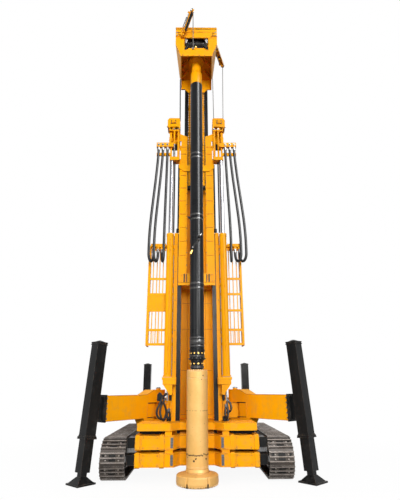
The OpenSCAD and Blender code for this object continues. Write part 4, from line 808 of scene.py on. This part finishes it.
def makeJib(label):
    jib = jibs[label]
    body = "jib_" + label
    reach = jib["reach"]
    side = jib["side"]
    half = jibs["halfWidth"]
    place = (
        Matrix.Translation(jib["pin"])
        @ Matrix.Rotation(math.radians(jib["turn"]), 4, "Z")
        @ Matrix.Translation((0.08, 0, 0))
        @ Matrix.Rotation(math.radians(-jib["rise"]), 4, "Y")
    )
    # black sheets in the jib's openings and along its open channel, with the plates at its tip: painted shade
    # inside the jib
    shadeSheets = Form(place)
    spans = ((0.24 * reach, 0.42 * reach), (0.60 * reach, 0.78 * reach))
    if side < 0:
        spans = ((0.012, reach - 0.034),)
    for near, far in spans:
        shadeSheets.box((near, -half, 0.012), (far, half, 0.0217))
        for y in (-0.0318, 0.0300):
            shadeSheets.box((near, y, -0.030), (far, y + 0.0018, 0.013))
    if side < 0:
        shadeSheets.box((0.020, -half, -0.0345), (reach - 0.034, half, -0.0305))
        rim = jibs["tipRadius"]
        for y in (-0.0275, 0.0255):
            shadeSheets.turned([(0.0, y), (rim, y), (rim, y + 0.002), (0.0, y + 0.002)], (reach, 0, 0), "Y", 32)
            shadeSheets.box((reach - 0.060, y, -0.0312), (reach, y + 0.002, 0.0312))
    shadeSheets.done("jib_liner_" + label, body, "black", 0.0)
    middle = reach * 0.5
    beside = (0, side * jibs["cylinder"], 0)
    sleeve = [(0.0228, 0.062), (0.0245, 0.066), (0.0245, 0.082), (0.0229, 0.086), (0.0229, 0.04 + middle),
              (0.0252, 0.043 + middle), (0.0252, 0.059 + middle), (0.0122, 0.062 + middle)]
    Form(place).turned(sleeve, beside, "X", 24).done("jib_cylinder_" + label, body, "steelDark", 0.0)
    rod = [(0.0123, 0.0625 + middle), (0.0123, reach - 0.0915)]
    Form(place).turned(rod, beside, "X", 20).done("jib_rod_" + label, body, "chrome", 0.0)
    sheave = Form(place).turned(jibs["sheave"], (reach, 0, 0), "Y", 36)
    sheave.done("jib_sheave_" + label, body, "black", 0.0)
    turn = place.to_3x3()
    ends = [(place @ Vector((reach, way * 0.0278, 0.0)), turn @ Vector((0, way, 0))) for way in (-1, 1)]
    bolts("jib_tip_bolts_" + label, body, ends, "steel", 0.024, 0.014, 0.004)


makeHead()
makeJib("left")
makeJib("right")
print("head and jibs made")


# The drill's axis, which the pipe and the hammer share.
drill = (0.0, -2.11, 0)


def around(count, turn=0.0):
    return [2 * math.pi * i / count + math.radians(turn) for i in range(count)]


def ringSpots(angles, radius, height, out=1, up=0):
    # Places round the drill's axis, that face outwards and up.
    x, y = drill[:2]
    ways = [(math.cos(angle), math.sin(angle)) for angle in angles]
    return [((x + u * radius, y + v * radius, height), (u * out, v * out, up)) for u, v in ways]


def banded(name, finishName, profiles, steps):
    return lathed(name, "drill_string", finishName, profiles, drill, "Z", steps)


pipe = {
    "rings": (3.511, 5.022, 6.533),
    "lowBand": [(0.1405, -0.055), (0.1432, -0.050), (0.1432, -0.018), (0.1415, -0.014)],
    "highBand": [(0.1415, 0.049), (0.1428, 0.052), (0.1428, 0.082), (0.1405, 0.086)],
    "coupling": 1.911,
    "collars": ((0.420, 0.1455, 0.030), (0.470, 0.1430, 0.085), (0.575, 0.1455, 0.030)),
    "bands": ((0.142, 0.1475, 0.236, 0.266), (0.117, 0.131, 0.030, 0.074)),
    "inner": 0.139,
    "slant": 0.003,
    "rim": 0.002,
    "knob": [(0.0, -0.145), (0.020, -0.145), (0.024, -0.152), (0.024, -0.186), (0.016, -0.196),
             (0.0, -0.196)],
}


def makePipe():
    joints = []
    for ring in pipe["rings"]:
        for band in (pipe["lowBand"], pipe["highBand"]):
            joints.append([(radius, ring + z) for radius, z in band])
    banded("pipe_joint_bands", "satin", joints, 56)
    # coarse joint above the coupling
    base = pipe["coupling"]
    inner = pipe["inner"]
    slant = pipe["slant"]
    collars = []
    for z, radius, high in pipe["collars"]:
        low = base + z
        rim = radius - pipe["rim"]
        collars.append([(inner, low), (rim, low), (radius, low + slant),
                        (radius, low + high - slant), (rim, low + high), (inner, low + high)])
    for within, radius, low, high in pipe["bands"]:
        steps = ((within, low), (radius, low + 0.004), (radius, high - 0.004), (within, high))
        collars.append([(wide, base + z) for wide, z in steps])
    banded("pipe_collars", "satin", collars, 56)
    studs = ringSpots(around(12, 10), 0.1435, base + 0.300) + ringSpots(around(10, -8), 0.1270, base + 0.112)
    bolts("coupling_bolts", "drill_string", studs, "gold", 0.010, 0.009, 0.003)
    pins = ringSpots(around(12, 25), 0.1435, base + 0.205)
    bolts("coupling_pins", "drill_string", pins, "satin", 0.013, 0.014, 0.003)
    y = drill[1]
    knob = Form().turned(pipe["knob"], (0, y - 0.05, 5.032), "X", 20)
    knob.box((-0.150, y - 0.062, 4.985), (-0.130, y - 0.038, 5.035))
    knob.done("pipe_knob", "drill_string", "black", 0.002)


link = {
    "tip": (0.096, -2.214, 4.640),
    "collar": (0.050, -2.250, 4.552),
    "flat": (0.031, -2.252, 4.484),
    "ball": (-0.0845, -2.234, 4.330),
    "eye": (-0.113, -2.216, 4.232),
    "apart": (Vector((0.009, 0, -0.004)), Vector((-0.007, 0, 0.004))),
}


def makeLink():
    # A short rod with ball ends that locks the pipe's joint.
    tip, collar, flat, ball, eye = (Vector(link[key]) for key in ("tip", "collar", "flat", "ball", "eye"))
    tubes("lock_rod_tip", "drill_string", [straight(tip, collar, 3)], 0.010, "steel", 12, 0.03)
    rods = [straight(flat + apart, ball + apart, 5) for apart in link["apart"]]
    tubes("lock_rod", "drill_string", rods, 0.0058, "satin", 10, 0.03)
    way = (tip - eye).normalized()
    cuffs = [(collar - way * 0.012, way), (flat - way * 0.022, way)]
    fittings("lock_rod_collars", "drill_string", cuffs, "black", 0.019, 0.05)
    fittings("lock_rod_eye", "drill_string", [(eye - way * 0.040, way)], "gold", 0.021, 0.09)
    beads = Form()
    for centre, size in ((ball, 0.018), (tip, 0.014), (eye - way * 0.02, 0.024)):
        profile = [(size * math.sin(math.pi * i / 8), -size * math.cos(math.pi * i / 8)) for i in range(9)]
        profile[0] = (0.0004, -size)
        profile[-1] = (0.0004, size)
        beads.turned(profile, centre, "Z", 16)
    beads.done("lock_rod_balls", "drill_string", "steel", 0.0)


hammer = {
    "radius": 0.195,
    "top": 1.911,
    "weld": 1.205,
    "chipped": 0.500,
    "line": 0.304,
    "grooves": ((-0.003, 0.0012, 0.270, 0.276), (0.010, 0.0212, 0.216, 0.2205)),
    "flutes": 6,
    "studs": 54,
    # across, height and radius of each small hole in the coat
    "holes": ((0.109, 1.807, 0.013), (0.077, 1.737, 0.0085), (-0.060, 0.402, 0.0175), (-0.028, 0.436, 0.014),
              (-0.012, 0.446, 0.006), (0.150, 0.430, 0.015), (0.164, 0.424, 0.009), (-0.168, 0.452, 0.010),
              (0.128, 0.990, 0.005), (-0.080, 0.93, 0.004), (0.055, 0.71, 0.004), (-0.110, 0.80, 0.004),
              (0.01, 1.52, 0.004), (-0.125, 1.47, 0.004), (0.098, 1.33, 0.004)),
}


def betweenFlutes(angle):
    # Whether a stud's angle keeps clear of the bit's flutes.
    turns = [math.degrees(angle) - 60 * k for k in range(hammer["flutes"])]
    return min(abs((turn + 180) % 360 - 180) for turn in turns) >= 8


def fluted(name, bevel, low, high):
    # The same box at each of the bit's flutes.
    form = Form()
    for angle in around(hammer["flutes"]):
        form.place = Matrix.Translation(drill) @ Matrix.Rotation(angle, 4, "Z")
        form.box(low, high)
    form.done(name, "drill_string", "umber", bevel)


def makeHammer():
    y = drill[1]
    radius = hammer["radius"]
    top = hammer["top"]
    line = hammer["line"]
    lip = ringSpots(around(26), radius - 0.020, top - 0.012, 0.5, 0.86)
    bolts("rim_teeth", "drill_string", lip, "bronze", 0.013, 0.012, 0.004)
    bands = []
    for low, out, high in (
        (top - 0.158, 0.0016, 0.006), (top - 0.134, 0.0016, 0.006),
        (line, 0.0018, 0.007), (line - 0.018, 0.0024, 0.006),
    ):
        inner = radius - 0.004
        outer = radius + out
        bands.append([(inner, low), (outer, low + 0.001), (outer, low + high - 0.001), (inner, low + high)])
    banded("hammer_bands", "bronze", bands, 72)
    grooves = []
    for within, out, low, high in hammer["grooves"]:
        inner = radius + within
        outer = radius + out
        grooves.append([(inner, low), (outer, low + 0.0005), (outer, high - 0.0005), (inner, high)])
    banded("flare_grooves", "ochre", grooves, 72)
    # dotted weld, and the chipped seam where the coat has come off
    chance = random.Random(7)
    dots = []
    for angle in around(60):
        if chance.random() < 0.55:
            dots += ringSpots([angle], radius - 0.0012, hammer["weld"] + chance.uniform(-0.003, 0.003))
    chips = []
    for angle in around(46):
        chips += ringSpots([angle], radius - 0.0016, hammer["chipped"] + chance.uniform(-0.016, 0.014))
    bolts("weld_dots", "drill_string", dots, "umber", 0.0042, 0.001, 0.002)
    bolts("coat_chips", "drill_string", chips, "umber", 0.0085, 0.001, 0.0022)
    pits = Form()
    for across, height, size in hammer["holes"]:
        depth = y - math.sqrt(radius ** 2 - across ** 2)
        turn = Vector((across, depth - y, 0)).normalized().to_track_quat("Z", "Y")
        pits.place = Matrix.Translation((across, depth, height)) @ turn.to_matrix().to_4x4()
        pits.turned([(size, -0.006), (size, 0.0007), (size * 0.86, 0.0012)], (0, 0, 0), "Z", 14)
    pits.done("hammer_holes", "drill_string", "umber", 0.0)
    # carbide studs round the bit's lower edge, with painted shade in the hollows between them, in the flutes'
    # mouths and along one edge of each flute
    for name, turn, ring, kind, size in (
        ("bit_studs", 2.0, (0.352, 0.040, 0.9, -0.43), "bronze", (0.0125, 0.012)),
        ("bit_hollow_shade", 5.33, (0.3535, 0.034, 0.8, -0.6), "umber", (0.0075, 0.004)),
    ):
        angles = [angle for angle in around(hammer["studs"], turn) if betweenFlutes(angle)]
        bolts(name, "drill_string", ringSpots(angles, *ring), kind, *size, 0.003)
    fluted("flute_mouth_shade", 0.003, (0.3385, -0.024, 0.014), (0.3520, 0.024, 0.078))
    fluted("flute_edge_shade", 0.001, (0.3500, 0.0235, 0.060), (0.3606, 0.0290, 0.168))


makePipe()
makeLink()
makeHammer()
print("drill string made")


mast = {
    "tieRods": (0.450, 0.550),
    "rodFront": -1.46,
    "ribs": [4.432 + 0.343 * i for i in range(7)] + [7.093, 7.297],
    "frontFace": -1.3995,
    "pinFace": -1.425,
    "wallFace": -1.4005,
    "barrelFront": -1.392,
    "barFace": -1.4405,
    "panelFace": -0.792,
    "cageFaces": (-1.3402, -1.3385),
    "guides": (0.526, -1.520, 4.94, 6.79),
    "knob": [(0.0, 4.99), (0.030, 4.99), (0.034, 5.00), (0.034, 5.07), (0.026, 5.085), (0.0, 5.085)],
    "sleeve": [(0.0242, 6.93), (0.0262, 6.935), (0.0262, 7.33), (0.0242, 7.34)],
    "gland": [(0.0478, 4.891), (0.0640, 4.891), (0.0670, 4.8925), (0.0670, 4.8965), (0.0640, 4.8985),
              (0.0478, 4.8985)],
}


def makeMiddleGear():
    rodFront = mast["rodFront"]
    nuts = [((x, rodFront, z), (0, 0, way)) for x in mast["tieRods"] for z, way in ((6.893, 1), (7.757, 1))]
    bolts("tie_rod_nuts", "mast_mid", bothSides(nuts), "steel", 0.036, 0.030, 0.008)
    lathed("tie_rod_sleeves", "mast_mid", "steel", [mast["sleeve"]], (-0.550, rodFront, 0), "Z", 20)
    # black sheets behind the openings of the sheave boxes: painted shade
    boxes("sheave_box_painted_shade", "mast_mid", "black", 0.0, (
        ((0.440, -1.378, 7.22), (0.620, -1.368, 7.40)),
        ((0.455, -1.345, 7.765), (0.690, -1.335, 7.900)),
    ), mirror=True)
    caps = facing(ahead, [(0.584, -1.435, 8.038)])
    bolts("sheave_pin_nuts", "mast_mid", bothSides(caps), "yellow", 0.036, 0.014, 0.006)
    corners = ((0.540, 8.075), (0.632, 8.070), (0.535, 8.010), (0.640, 8.000))
    locks = facing(ahead, [(x, mast["pinFace"], z) for x, z in corners])
    bolts("sheave_pin_locks", "mast_mid", bothSides(locks), "satin", 0.014, 0.010)
    flanks = facing((1, 0, 0), [(0.736, -1.30, 7.98), (0.736, -1.22, 8.05), (0.674, -1.30, 7.56)])
    bolts("sheave_side_bolts", "mast_mid", bothSides(flanks), "steel", 0.020, 0.016, 0.005)
    # tubes beside the polished rods, black as painted shade, and guide bars with knobs at their ends
    x, y, low, high = mast["guides"]
    guides = [[(side * x, y, low), (side * x, y, high)] for side in (-1, 1)]
    tubes("rod_side_tubes_shaded", "mast_mid", guides, 0.017, "black", 14, 0.4)
    front = mast["barrelFront"]
    bars = Form().box((0.4145, front, 5.06), (0.450, front + 0.03, 6.795)).both()
    for x in (0.440, -0.440):
        bars.turned(mast["knob"], (x, front, 0), "Z", 18)
    bars.done("guide_bars", "mast_mid", "black", 0.003)
    glands = Form().turned(mast["gland"], (0.596, -1.55, 0), "Z", 32).both()
    glands.done("rod_glands", "mast_base", "black", 0.0)
    # weld beads of the ribs, and small bolts down the stage's edges
    face = mast["frontFace"]
    ends = [(z, side) for z in mast["ribs"] for side in (-1, 1)]
    beads = [[(side * x, face - 0.0015, z - 0.001) for x in (0.247, 0.390)] for z, side in ends]
    tubes("rib_welds", "mast_mid", beads, 0.0042, "ochre", 6, 0.2)
    edge = facing(ahead, [(0.228, face - 0.006, 4.2 + 0.3 * i) for i in range(11)])
    bolts("slot_edge_bolts", "mast_mid", bothSides(edge), "satin", 0.007, 0.004, 0.002)


def makeBaseGear():
    wall = mast["wallFace"]
    panelFace = mast["panelFace"]
    strip = ((0.5105, wall, 1.80), (0.5225, mast["barrelFront"], 4.90))
    boxes("barrel_shadow_strips", "mast_base", "umber", 0.0, [strip], mirror=True)
    spots = facing(ahead, [(0.470, wall, z) for z in (1.45, 2.1, 2.75, 3.4, 4.05, 4.7)])
    bolts("wall_bolts", "mast_base", bothSides(spots), "yellow", 0.010, 0.006)
    panel = [[(-0.343, panelFace, z), (0.343, panelFace, z)] for z in (1.05, 1.95, 2.85, 3.45)]
    panel += [[(x, panelFace, 1.05), (x, panelFace, 4.9)] for x in (-0.205, 0.205)]
    tubes("panel_welds", "mast_base", panel, 0.005, "ochre", 6, 0.5)
    # black sheets in the cross bar's slots: painted shade
    boxes("cross_bar_slot_shade", "mast_mid", "black", 0.0, [
        ((near, -1.4425, 3.80), (far, -1.4395, 3.985)) for near, far in ((0.262, 0.292), (0.212, 0.230))
    ], mirror=True)
    band = facing(ahead, [(x, mast["barFace"], z) for x in (0.345, 0.395) for z in (3.825, 3.965)])
    bolts("cross_bar_bolts", "mast_mid", bothSides(band), "yellow", 0.010, 0.008)
    post, rail = mast["cageFaces"]
    cage = [(x, post, z) for z in (2.46, 3.88, 4.66) for x in (-1.066, 0.997)]
    cage += [(x, rail, z) for z in (3.22, 3.50) for x in (-1.05, -0.86, -0.68)]
    bolts("cage_bolts", "mast_base", facing(ahead, cage), "yellow", 0.009, 0.006)


arms = {
    "pivot": (0.85, -0.65),
    "reach": 1.705,
    "angle": 48.0,
    "low": 1.005,
    "face": -0.1512,
    "jackHalf": 0.1075,
    "jackLean": -4,
    "jackTurn": 1.23,
    "jackBands": ((0.722, 0.740, 0.020), (0.765, 0.785, 0.006), (2.405, 2.425, 0.0105)),
    "welds": (((0.53, 1.005), (0.9, 1.003), (1.447, 1.003)),
              ((0.26, 1.552), (0.47, 1.457), (0.9, 1.457), (1.447, 1.457))),
}


def makeArmGear():
    x, y = arms["pivot"]
    straightArm = Matrix.Translation((x, y, 0)) @ Matrix.Rotation(math.radians(-arms["angle"]), 4, "Z")
    low = arms["low"]
    half = arms["jackHalf"]
    for label, side in leftRight:
        body = "arm_" + label
        place = Matrix.Scale(side, 4, (1, 0, 0)) @ straightArm
        turn = place.to_3x3()
        for name, x, y, lift, step, kind, radius, height in (
            ("flange_bolts_", 1.462, 0.164 * 0.9878, 0.045, 0.09, "steel", 0.011, 0.009),
            ("flange_nuts_", 1.488, 0.162, 0.02, 0.1, "satin", 0.012, 0.010),
        ):
            spots = []
            for way in (-1, 1):
                out = turn @ Vector((0, way, 0))
                spots += [(place @ Vector((x, way * y, low + lift + step * i)), out) for i in range(5)]
            bolts(name + label, body, spots, kind, radius, height)
        boxes("flange_plates_" + label, body, "black", 0.004, (
            ((1.4762, -0.176, 0.985), (1.5050, 0.176, 1.475)),
            ((1.5010, -0.158, 1.015), (1.5300, 0.158, 1.445)),
        ), place=place)
        welds = [[place @ Vector((x, arms["face"], z)) for x, z in bead] for bead in arms["welds"]]
        tubes("arm_welds_" + label, body, welds, 0.0045, "ochre", 6, 0.2)
        # black strips in the gaps above and below the pivot block: painted shade
        boxes("arm_root_gaps_" + label, body, "black", 0.0, (
            ((0.18, -0.1528, 1.282), (0.42, -0.1495, 1.301)),
            ((0.18, -0.1528, 1.0056), (0.42, -0.1495, 1.019)),
        ), place=place)
        border = [((0.428, -0.157, 1.0056), (0.446, -0.149, 1.301))]
        boxes("arm_root_edge_" + label, body, "yellow", 0.003, border, place=place)
        top = [(place @ Vector((0.0, 0.0, 1.581)), (0, 0, 1))]
        bolts("arm_pin_caps_" + label, "chassis", top, "steel", 0.040, 0.012, 0.010)
        jack = (
            Matrix.Translation((arms["reach"], 0, arms["jackTurn"]))
            @ Matrix.Rotation(math.radians(arms["jackLean"]), 4, "Y")
            @ Matrix.Translation((0, 0, -arms["jackTurn"]))
        )
        collar = []
        for foot, crown, out in arms["jackBands"]:
            wide = half + out
            thin = half - 0.001
            collar += [
                ((-wide, -wide, foot), (wide, -thin, crown)),
                ((-wide, thin, foot), (wide, wide, crown)),
                ((-wide, -half, foot), (-thin, half, crown)),
                ((thin, -half, foot), (wide, half, crown)),
            ]
        boxes("jack_bands_" + label, body, "black", 0.002, collar, place=place @ jack)


gear = {
    "left": [
        [(-0.640, -1.46, 1.46), (-0.690, -1.50, 1.41), (-0.735, -1.54, 1.30), (-0.790, -1.56, 1.16),
         (-0.765, -1.55, 1.06), (-0.690, -1.53, 1.01), (-0.640, -1.49, 1.03), (-0.610, -1.44, 1.12)],
        [(-0.655, -1.48, 1.36), (-0.700, -1.52, 1.28), (-0.725, -1.55, 1.16), (-0.700, -1.56, 1.05),
         (-0.655, -1.54, 1.00), (-0.615, -1.50, 1.05), (-0.590, -1.46, 1.14)],
        [(-0.735, -1.42, 1.42), (-0.715, -1.46, 1.33), (-0.660, -1.48, 1.30), (-0.620, -1.47, 1.20),
         (-0.600, -1.45, 1.08), (-0.575, -1.42, 1.02)],
        [(-0.570, -1.50, 1.16), (-0.590, -1.53, 1.08), (-0.560, -1.55, 1.02), (-0.535, -1.52, 1.06),
         (-0.545, -1.48, 1.16)],
    ],
    "right": [
        [(0.598, -1.48, 1.36), (0.602, -1.51, 1.24), (0.612, -1.53, 1.14), (0.600, -1.54, 1.04),
         (0.560, -1.51, 1.00)],
        [(0.570, -1.50, 1.24), (0.556, -1.52, 1.14), (0.560, -1.53, 1.06), (0.590, -1.51, 1.01)],
        [(0.625, -1.48, 1.34), (0.662, -1.50, 1.29), (0.678, -1.52, 1.22), (0.660, -1.52, 1.16),
         (0.626, -1.49, 1.14)],
    ],
    "radius": 0.021,
    "boot": [(-0.800, 1.345), (-0.795, 1.470), (-0.755, 1.515), (-0.715, 1.490), (-0.640, 1.385),
             (-0.655, 1.365), (-0.715, 1.400), (-0.735, 1.345)],
    "wall": 0.5105,
}


def makeRootGear():
    wall = gear["wall"]
    for label, side in leftRight:
        tubes("root_hoses_" + label, "mast_base", gear[label], gear["radius"], "rubber", 12, 0.02)
        ends = []
        for path in gear[label]:
            for last, before in ((path[0], path[1]), (path[-1], path[-2])):
                way = (Vector(last) - Vector(before)).normalized()
                ends.append((Vector(last) - way * 0.01, way))
        fittings("root_fittings_" + label, "mast_base", ends, "steelDark", gear["radius"], 0.06)
        boxes("valve_blocks_" + label, "mast_base", "black", 0.006, (
            ((side * wall, -1.50, 1.34), (side * 0.560, -1.405, 1.455)),
            ((side * wall, -1.485, 0.975), (side * 0.600, -1.405, 1.06)),
        ))
        if side < 0:
            Form().prism(gear["boot"], "Y", -1.50, -1.43).done("hose_boot", "mast_base", "black", 0.015)
        rods = [[(0.0, low), (radius, low), (radius, high), (0.0, high)]
                for radius, low, high in ((0.0185, 1.350, 1.46), (0.0125, 1.452, 1.560))]
        lathed("latch_rods_" + label, "mast_base", "chrome", rods, (side * 0.590, -1.50, 0), "Z", 20)
        boxes("latch_brackets_" + label, "mast_base", "yellow", 0.003, (
            ((side * wall, -1.497, 1.06), (side * 0.525, -1.42, 1.352)),
            ((side * 0.572, -1.497, 1.13), (side * 0.586, -1.44, 1.352)),
            ((side * wall, -1.500, 1.338), (side * 0.640, -1.44, 1.356)),
        ))


deck = {
    "boxFace": -1.904,
    "seams": (0.446, 0.742, 0.548),
    "plateFace": -1.8955,
    "notchBack": -1.6975,
    "lid": 1.5605,
    "rearFace": 2.8805,
    "strapFace": 0.0115,
    "grip": ((0.762, 1.06), (0.800, 1.06), (0.806, 1.10), (0.800, 1.14), (0.762, 1.14)),
    "gripBack": 1.93,
}


def makeChassisGear():
    # black sheets in the gaps under the deck and between the front boxes, and behind them: painted shade
    boxes("under_deck_shade", "chassis", "black", 0.0, (
        ((0.66, -1.62, 0.762), (1.10, -1.60, 0.838)),
        ((0.64, -1.62, 0.468), (1.13, -1.60, 0.524)),
        ((0.33, -1.500, 0.30), (1.10, -1.492, 0.838)),
    ), mirror=True)
    # darker ochre sheets at the back of the notch and in its top gap: painted shade
    boxes("notch_back_shade", "chassis", "ochre", 0.002, (
        ((-0.329, -1.502, 0.30), (0.329, -1.490, 0.838)),
        ((-0.329, -1.690, 0.762), (0.329, -1.650, 0.790)),
    ))
    heads = facing(ahead, [(x, deck["boxFace"], z) for z in (0.27, 0.43, 0.56, 0.725) for x in (0.725, 0.99)])
    bolts("box_bolts", "chassis", bothSides(heads), "yellow", 0.009, 0.006)
    heights = (0.30, 0.345, 0.39, 0.60, 0.65, 0.69)
    plates = facing(ahead, [(x, deck["plateFace"], z) for z in heights for x in (0.455, 0.479)])
    bolts("plate_rivets", "chassis", bothSides(plates), "umber", 0.0052, 0.002, 0.002)
    back = deck["notchBack"]
    seams = []
    for side in (-1, 1):
        seams += [[(side * 0.333, -1.701, z), (side * 0.437, -1.874, z)] for z in deck["seams"]]
    seams += [[(-0.32, back, z), (0.32, back, z)] for z in deck["seams"][:2]]
    tubes("box_welds", "chassis", seams, 0.005, "ochre", 6, 0.2)
    # treads on the deck and the rear platform
    for name, x, y, z, count, step, width in (
        ("deck_treads", 0.82, -1.84, 0.9715, 12, 0.045, 0.5),
        ("platform_treads", 0.96, 0.86, 0.8815, 34, 0.05, 0.24),
    ):
        starts = [(side * x, y, z) for side in (-1, 1)]
        rows(name, "chassis", starts, count, (0.0, step, 0.0), (width, 0.010, 0.003), "yellow")
    # bolts on the hood's lid, the rear beam and the tanks' straps, and the doors' handles
    lid = facing((0, 0, 1), [(x, y, deck["lid"]) for x in (-0.70, 0.70) for y in (0.82, 1.2, 1.6, 2.0, 2.44)])
    bolts("hood_bolts", "chassis", lid, "steel", 0.011, 0.007)
    ends = (-1.30, -1.1, 1.1, 1.30)
    rear = facing((0, 1, 0), [(x, deck["rearFace"], z) for x in ends for z in (0.66, 0.82)])
    bolts("rear_beam_bolts", "chassis", rear, "yellow", 0.014, 0.010)
    middles = (-1.01, -0.69, 0.65, 0.97)
    straps = facing(ahead, [(x + 0.02, deck["strapFace"], z) for x in middles for z in (1.02, 1.22)])
    bolts("strap_bolts", "chassis", straps, "steel", 0.011, 0.009)
    for label, side in leftRight:
        grip = [(side * x, deck["gripBack"], z) for x, z in deck["grip"]]
        tubes("door_handle_" + label, "door_" + label, [grip], 0.008, "black", 10, 0.02)


track = {"radius": 0.3315, "base": 2.85, "y": -0.215, "z": 0.3575, "x": 1.53, "shoes": 34, "ground": 0.0004}


def loopPlace(distance):
    # A place on the track's path, and the way it faces.
    half = track["base"] / 2
    radius = track["radius"]
    arc = math.pi * radius
    if distance < track["base"]:
        return (-half + distance, -radius), (0, -1)
    distance -= track["base"]
    if distance < arc:
        v, w = math.sin(distance / radius), -math.cos(distance / radius)
        return (half + radius * v, radius * w), (v, w)
    distance -= arc
    if distance < track["base"]:
        return (half - distance, radius), (0, 1)
    angle = (distance - track["base"]) / radius
    v, w = -math.sin(angle), math.cos(angle)
    return (-half + radius * v, radius * w), (v, w)


def makeTrackGear():
    pitch = (2 * track["base"] + 2 * math.pi * track["radius"]) / track["shoes"]
    for label, side in leftRight:
        body = "track_unit_" + label
        spots = []
        for i in range(track["shoes"]):
            (y, z), (v, w) = loopPlace((i + 0.5) * pitch)
            spots.append(((side * track["x"], track["y"] + y, track["z"] + z), (0, v, w)))
        details = grown("shoe_details_" + label, body, shoeTree, seedPoints(spots), "wornSteel", pitch=pitch)
        for vertex in details.data.vertices:
            vertex.co.z = max(vertex.co.z, track["ground"])
        grown("shoe_hollows_" + label, body, hollowShadeTree, seedPoints(spots), "black", pitch=pitch)


makeMiddleGear()
makeBaseGear()
makeArmGear()
makeRootGear()
makeChassisGear()
makeTrackGear()
print("mast, arm, chassis and track gear made")


def seenDirectly(tree):
    # 1 for rays from the camera, in a mirror or through glass, and 0 for those that light.
    seen = tree.node("LightPath", "Is Camera Ray")
    for kind in ("Is Glossy Ray", "Is Transmission Ray"):
        seen = seen.math("MAXIMUM", tree.node("LightPath", kind))
    return seen


def makeStage():
    floor = bpy.data.meshes.new("floor")
    reach = 60
    corners = [(x * reach, y * reach, 0) for x, y in ((-1, -1), (1, -1), (1, 1), (-1, 1))]
    floor.from_pydata(corners, [], [(0, 1, 2, 3)])
    ground = bpy.data.objects.new("floor", floor)
    bpy.context.scene.collection.objects.link(ground)
    material, tree, where = newMaterial("floor_white")
    # White, and brighter with the distance so that no horizon shows.
    shader = material.node_tree.nodes["Principled BSDF"]
    shader.inputs["Base Color"].default_value = (0.93, 0.93, 0.93, 1)
    shader.inputs["Roughness"].default_value = 0.9
    away = tree.node("VectorMath", 1, {0: where}, operation="LENGTH")
    glow = tree.node("Emission", 0, {"Color": (1, 1, 1, 1), "Strength": 1.0})
    bright = away.ramp(2.0, 7.0) * 0.08 + 0.92
    lit = tree.node("MixShader", 0, {0: bright, 1: Wire(tree.tree, shader.outputs[0]), 2: glow})
    grey = tree.node("BsdfDiffuse", 0, {"Color": (0.30, 0.30, 0.30, 1)})
    shown = tree.node("MixShader", 0, {0: seenDirectly(tree), 1: grey, 2: lit})
    tree.tree.links.new(shown.socket, material.node_tree.nodes["Material Output"].inputs["Surface"])
    floor.materials.append(material)


def makeWorld():
    world = bpy.data.worlds.new("studio")
    bpy.context.scene.world = world
    world.use_nodes = True
    tree = world.node_tree
    tree.nodes.clear()
    shade = Wire(tree)
    soft = shade.node("Background", 0, {"Color": (0.92, 0.95, 1.0, 1), "Strength": 0.36})
    white = shade.node("Background", 0, {"Color": (1, 1, 1, 1), "Strength": 1.0})
    mix = shade.node("MixShader", 0, {0: seenDirectly(shade), 1: soft, 2: white})
    output = tree.nodes.new("ShaderNodeOutputWorld")
    tree.links.new(mix.socket, output.inputs["Surface"])


def areaLight(name, place, aim, size, power, colour=(1, 1, 1), tall=0.0):
    data = bpy.data.lights.new(name, "AREA")
    data.shape = "RECTANGLE"
    data.size = size
    data.size_y = tall or size
    data.energy = power
    data.color = colour
    light = bpy.data.objects.new(name, data)
    light.location = place
    light.rotation_euler = (Vector(aim) - Vector(place)).to_track_quat("-Z", "Y").to_euler()
    bpy.context.scene.collection.objects.link(light)


def makeLights():
    areaLight("key", (1.8, -17, 6), (0, 0, 4.5), 5, 2000, (1, 0.985, 0.96))
    areaLight("fill", (-9, -13, 6), (0, 0, 4), 7, 760)
    areaLight("top", (0, 1.0, 19), (0, -0.5, 2), 9, 1100)
    bpy.data.objects["top"].visible_camera = False
    areaLight("strip", (7.4, -11.0, 12.5), (0, -2.1, 6.0), 4.4, 9500, (1, 1, 1), 15)
    bpy.data.objects["strip"].visible_diffuse = False


makeStage()
makeWorld()
makeLights()
bpy.context.scene.view_settings.view_transform = "Standard"
print("stage and light made")
